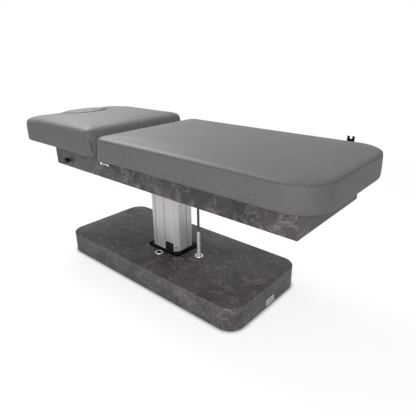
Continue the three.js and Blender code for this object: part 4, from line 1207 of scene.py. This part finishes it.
# Floor and studio light
# A pale floor in a white surround, one broad lamp beyond the near side of the foot end, one
# above the head end, and a soft sky. The lens sees the surround as plain white, and what shines
# mirrors a greyer one.
floor_size = 40
floor_tone = (0.37, 0.37, 0.37)
floor_bounce = (0.42, 0.42, 0.42)
floor_glow = 0.74
floor_roughness = 0.9
floor_drift_scale = 0.4
floor_dark_share = 0.99
contact_reach = 22 * MM
contact_shade = 1.2
floor_fade_start = 1.3
floor_fade_end = 3.4
sky_strength = 0.42
mirror_strength = 0.74
key_place = (1.7, -2.6, 1.7)
key_size = 2.0
key_power = 52
top_place = (-1.75, 0.3, 2.6)
top_size = 1.4
top_power = 62
couch_middle = (0, 0, 0.5)
head_middle = (-0.7, 0, 0.8)
floor_work = bmesh.new()
bmesh.ops.create_grid(floor_work, x_segments=1, y_segments=1, size=floor_size / 2)
floor = piece_of("studio_floor", floor_work)


def floor_paint():
    """The lens sees a glowing white floor that still takes shadows, and a painted contact shadow
    darkens its colour and its glow next to the couch; light bounces off less.
    """
    material, tree, shader = open_material("floor_paint", floor_roughness)
    shader.inputs["Specular IOR Level"].default_value = 0
    grain = use_group(tree, fine_grain, Drift_Scale=floor_drift_scale)
    seen_tone = shaded(tree, grain["Drift"], tinted(floor_tone, floor_dark_share), floor_tone)
    path = put(tree, "ShaderNodeLightPath")
    seen = maths(tree, "MAXIMUM", path.outputs["Is Camera Ray"], path.outputs["Is Glossy Ray"])
    # Painted contact shadow: the hollow shade darkens the floor's colour and its glow where it
    # meets the couch.
    contact = use_group(tree, hollow_shade, Reach=contact_reach, Depth=contact_shade)["Shade"]
    lens_floor = put(tree, "ShaderNodeBsdfDiffuse", {
        "Color": mixed(tree, 1.0, seen_tone, contact, "MULTIPLY"),
    }).outputs["BSDF"]
    glow = put(tree, "ShaderNodeEmission", {
        "Color": contact, "Strength": floor_glow,
    }).outputs["Emission"]
    near_floor = put(tree, "ShaderNodeAddShader", {0: lens_floor, 1: glow}).outputs["Shader"]
    place = put(tree, "ShaderNodeTexCoord").outputs["Object"]
    reach = put(tree, "ShaderNodeVectorMath", {0: place}, operation="LENGTH").outputs["Value"]
    far = spread(tree, reach, floor_fade_start, floor_fade_end)
    plain = put(tree, "ShaderNodeEmission", {"Strength": 1.0}).outputs["Emission"]
    bright = put(tree, "ShaderNodeMixShader", {0: far, 1: near_floor, 2: plain})
    shader.inputs["Base Color"].default_value = (*floor_bounce, 1)
    both = put(tree, "ShaderNodeMixShader", {
        0: seen, 1: shader.outputs["BSDF"], 2: bright.outputs["Shader"],
    })
    tree.links.new(both.outputs["Shader"], tree.nodes["Material Output"].inputs["Surface"])
    return material


floor.data.materials.append(floor_paint())


def studio_sky():
    sky = bpy.data.worlds.new("studio_sky")
    sky.use_nodes = True
    tree = sky.node_tree
    soft = tree.nodes["Background"]
    soft.inputs["Color"].default_value = (1, 1, 1, 1)
    soft.inputs["Strength"].default_value = sky_strength
    mirrored = put(tree, "ShaderNodeBackground", {"Color": (1, 1, 1), "Strength": mirror_strength})
    plain = put(tree, "ShaderNodeBackground", {"Color": (1, 1, 1), "Strength": 1.0})
    path = put(tree, "ShaderNodeLightPath")
    around = put(tree, "ShaderNodeMixShader", {
        0: path.outputs["Is Glossy Ray"], 1: soft.outputs["Background"],
        2: mirrored.outputs["Background"],
    })
    whole = put(tree, "ShaderNodeMixShader", {
        0: path.outputs["Is Camera Ray"], 1: around.outputs["Shader"],
        2: plain.outputs["Background"],
    })
    tree.links.new(whole.outputs["Shader"], tree.nodes["World Output"].inputs["Surface"])
    return sky


bpy.context.scene.world = studio_sky()


def lamp(name, place, aim, size, power):
    data = bpy.data.lights.new(name, "AREA")
    data.shape = "DISK"
    data.size = size
    data.energy = power
    holder = bpy.data.objects.new(name, data)
    bpy.context.scene.collection.objects.link(holder)
    holder.location = place
    holder.visible_camera = False
    holder.rotation_euler = (Vector(aim) - Vector(place)).to_track_quat("-Z", "Y").to_euler()


lamp("key_lamp", key_place, couch_middle, key_size, key_power)
lamp("top_lamp", top_place, head_middle, top_size, top_power)

bpy.context.scene.view_settings.view_transform = "Standard"
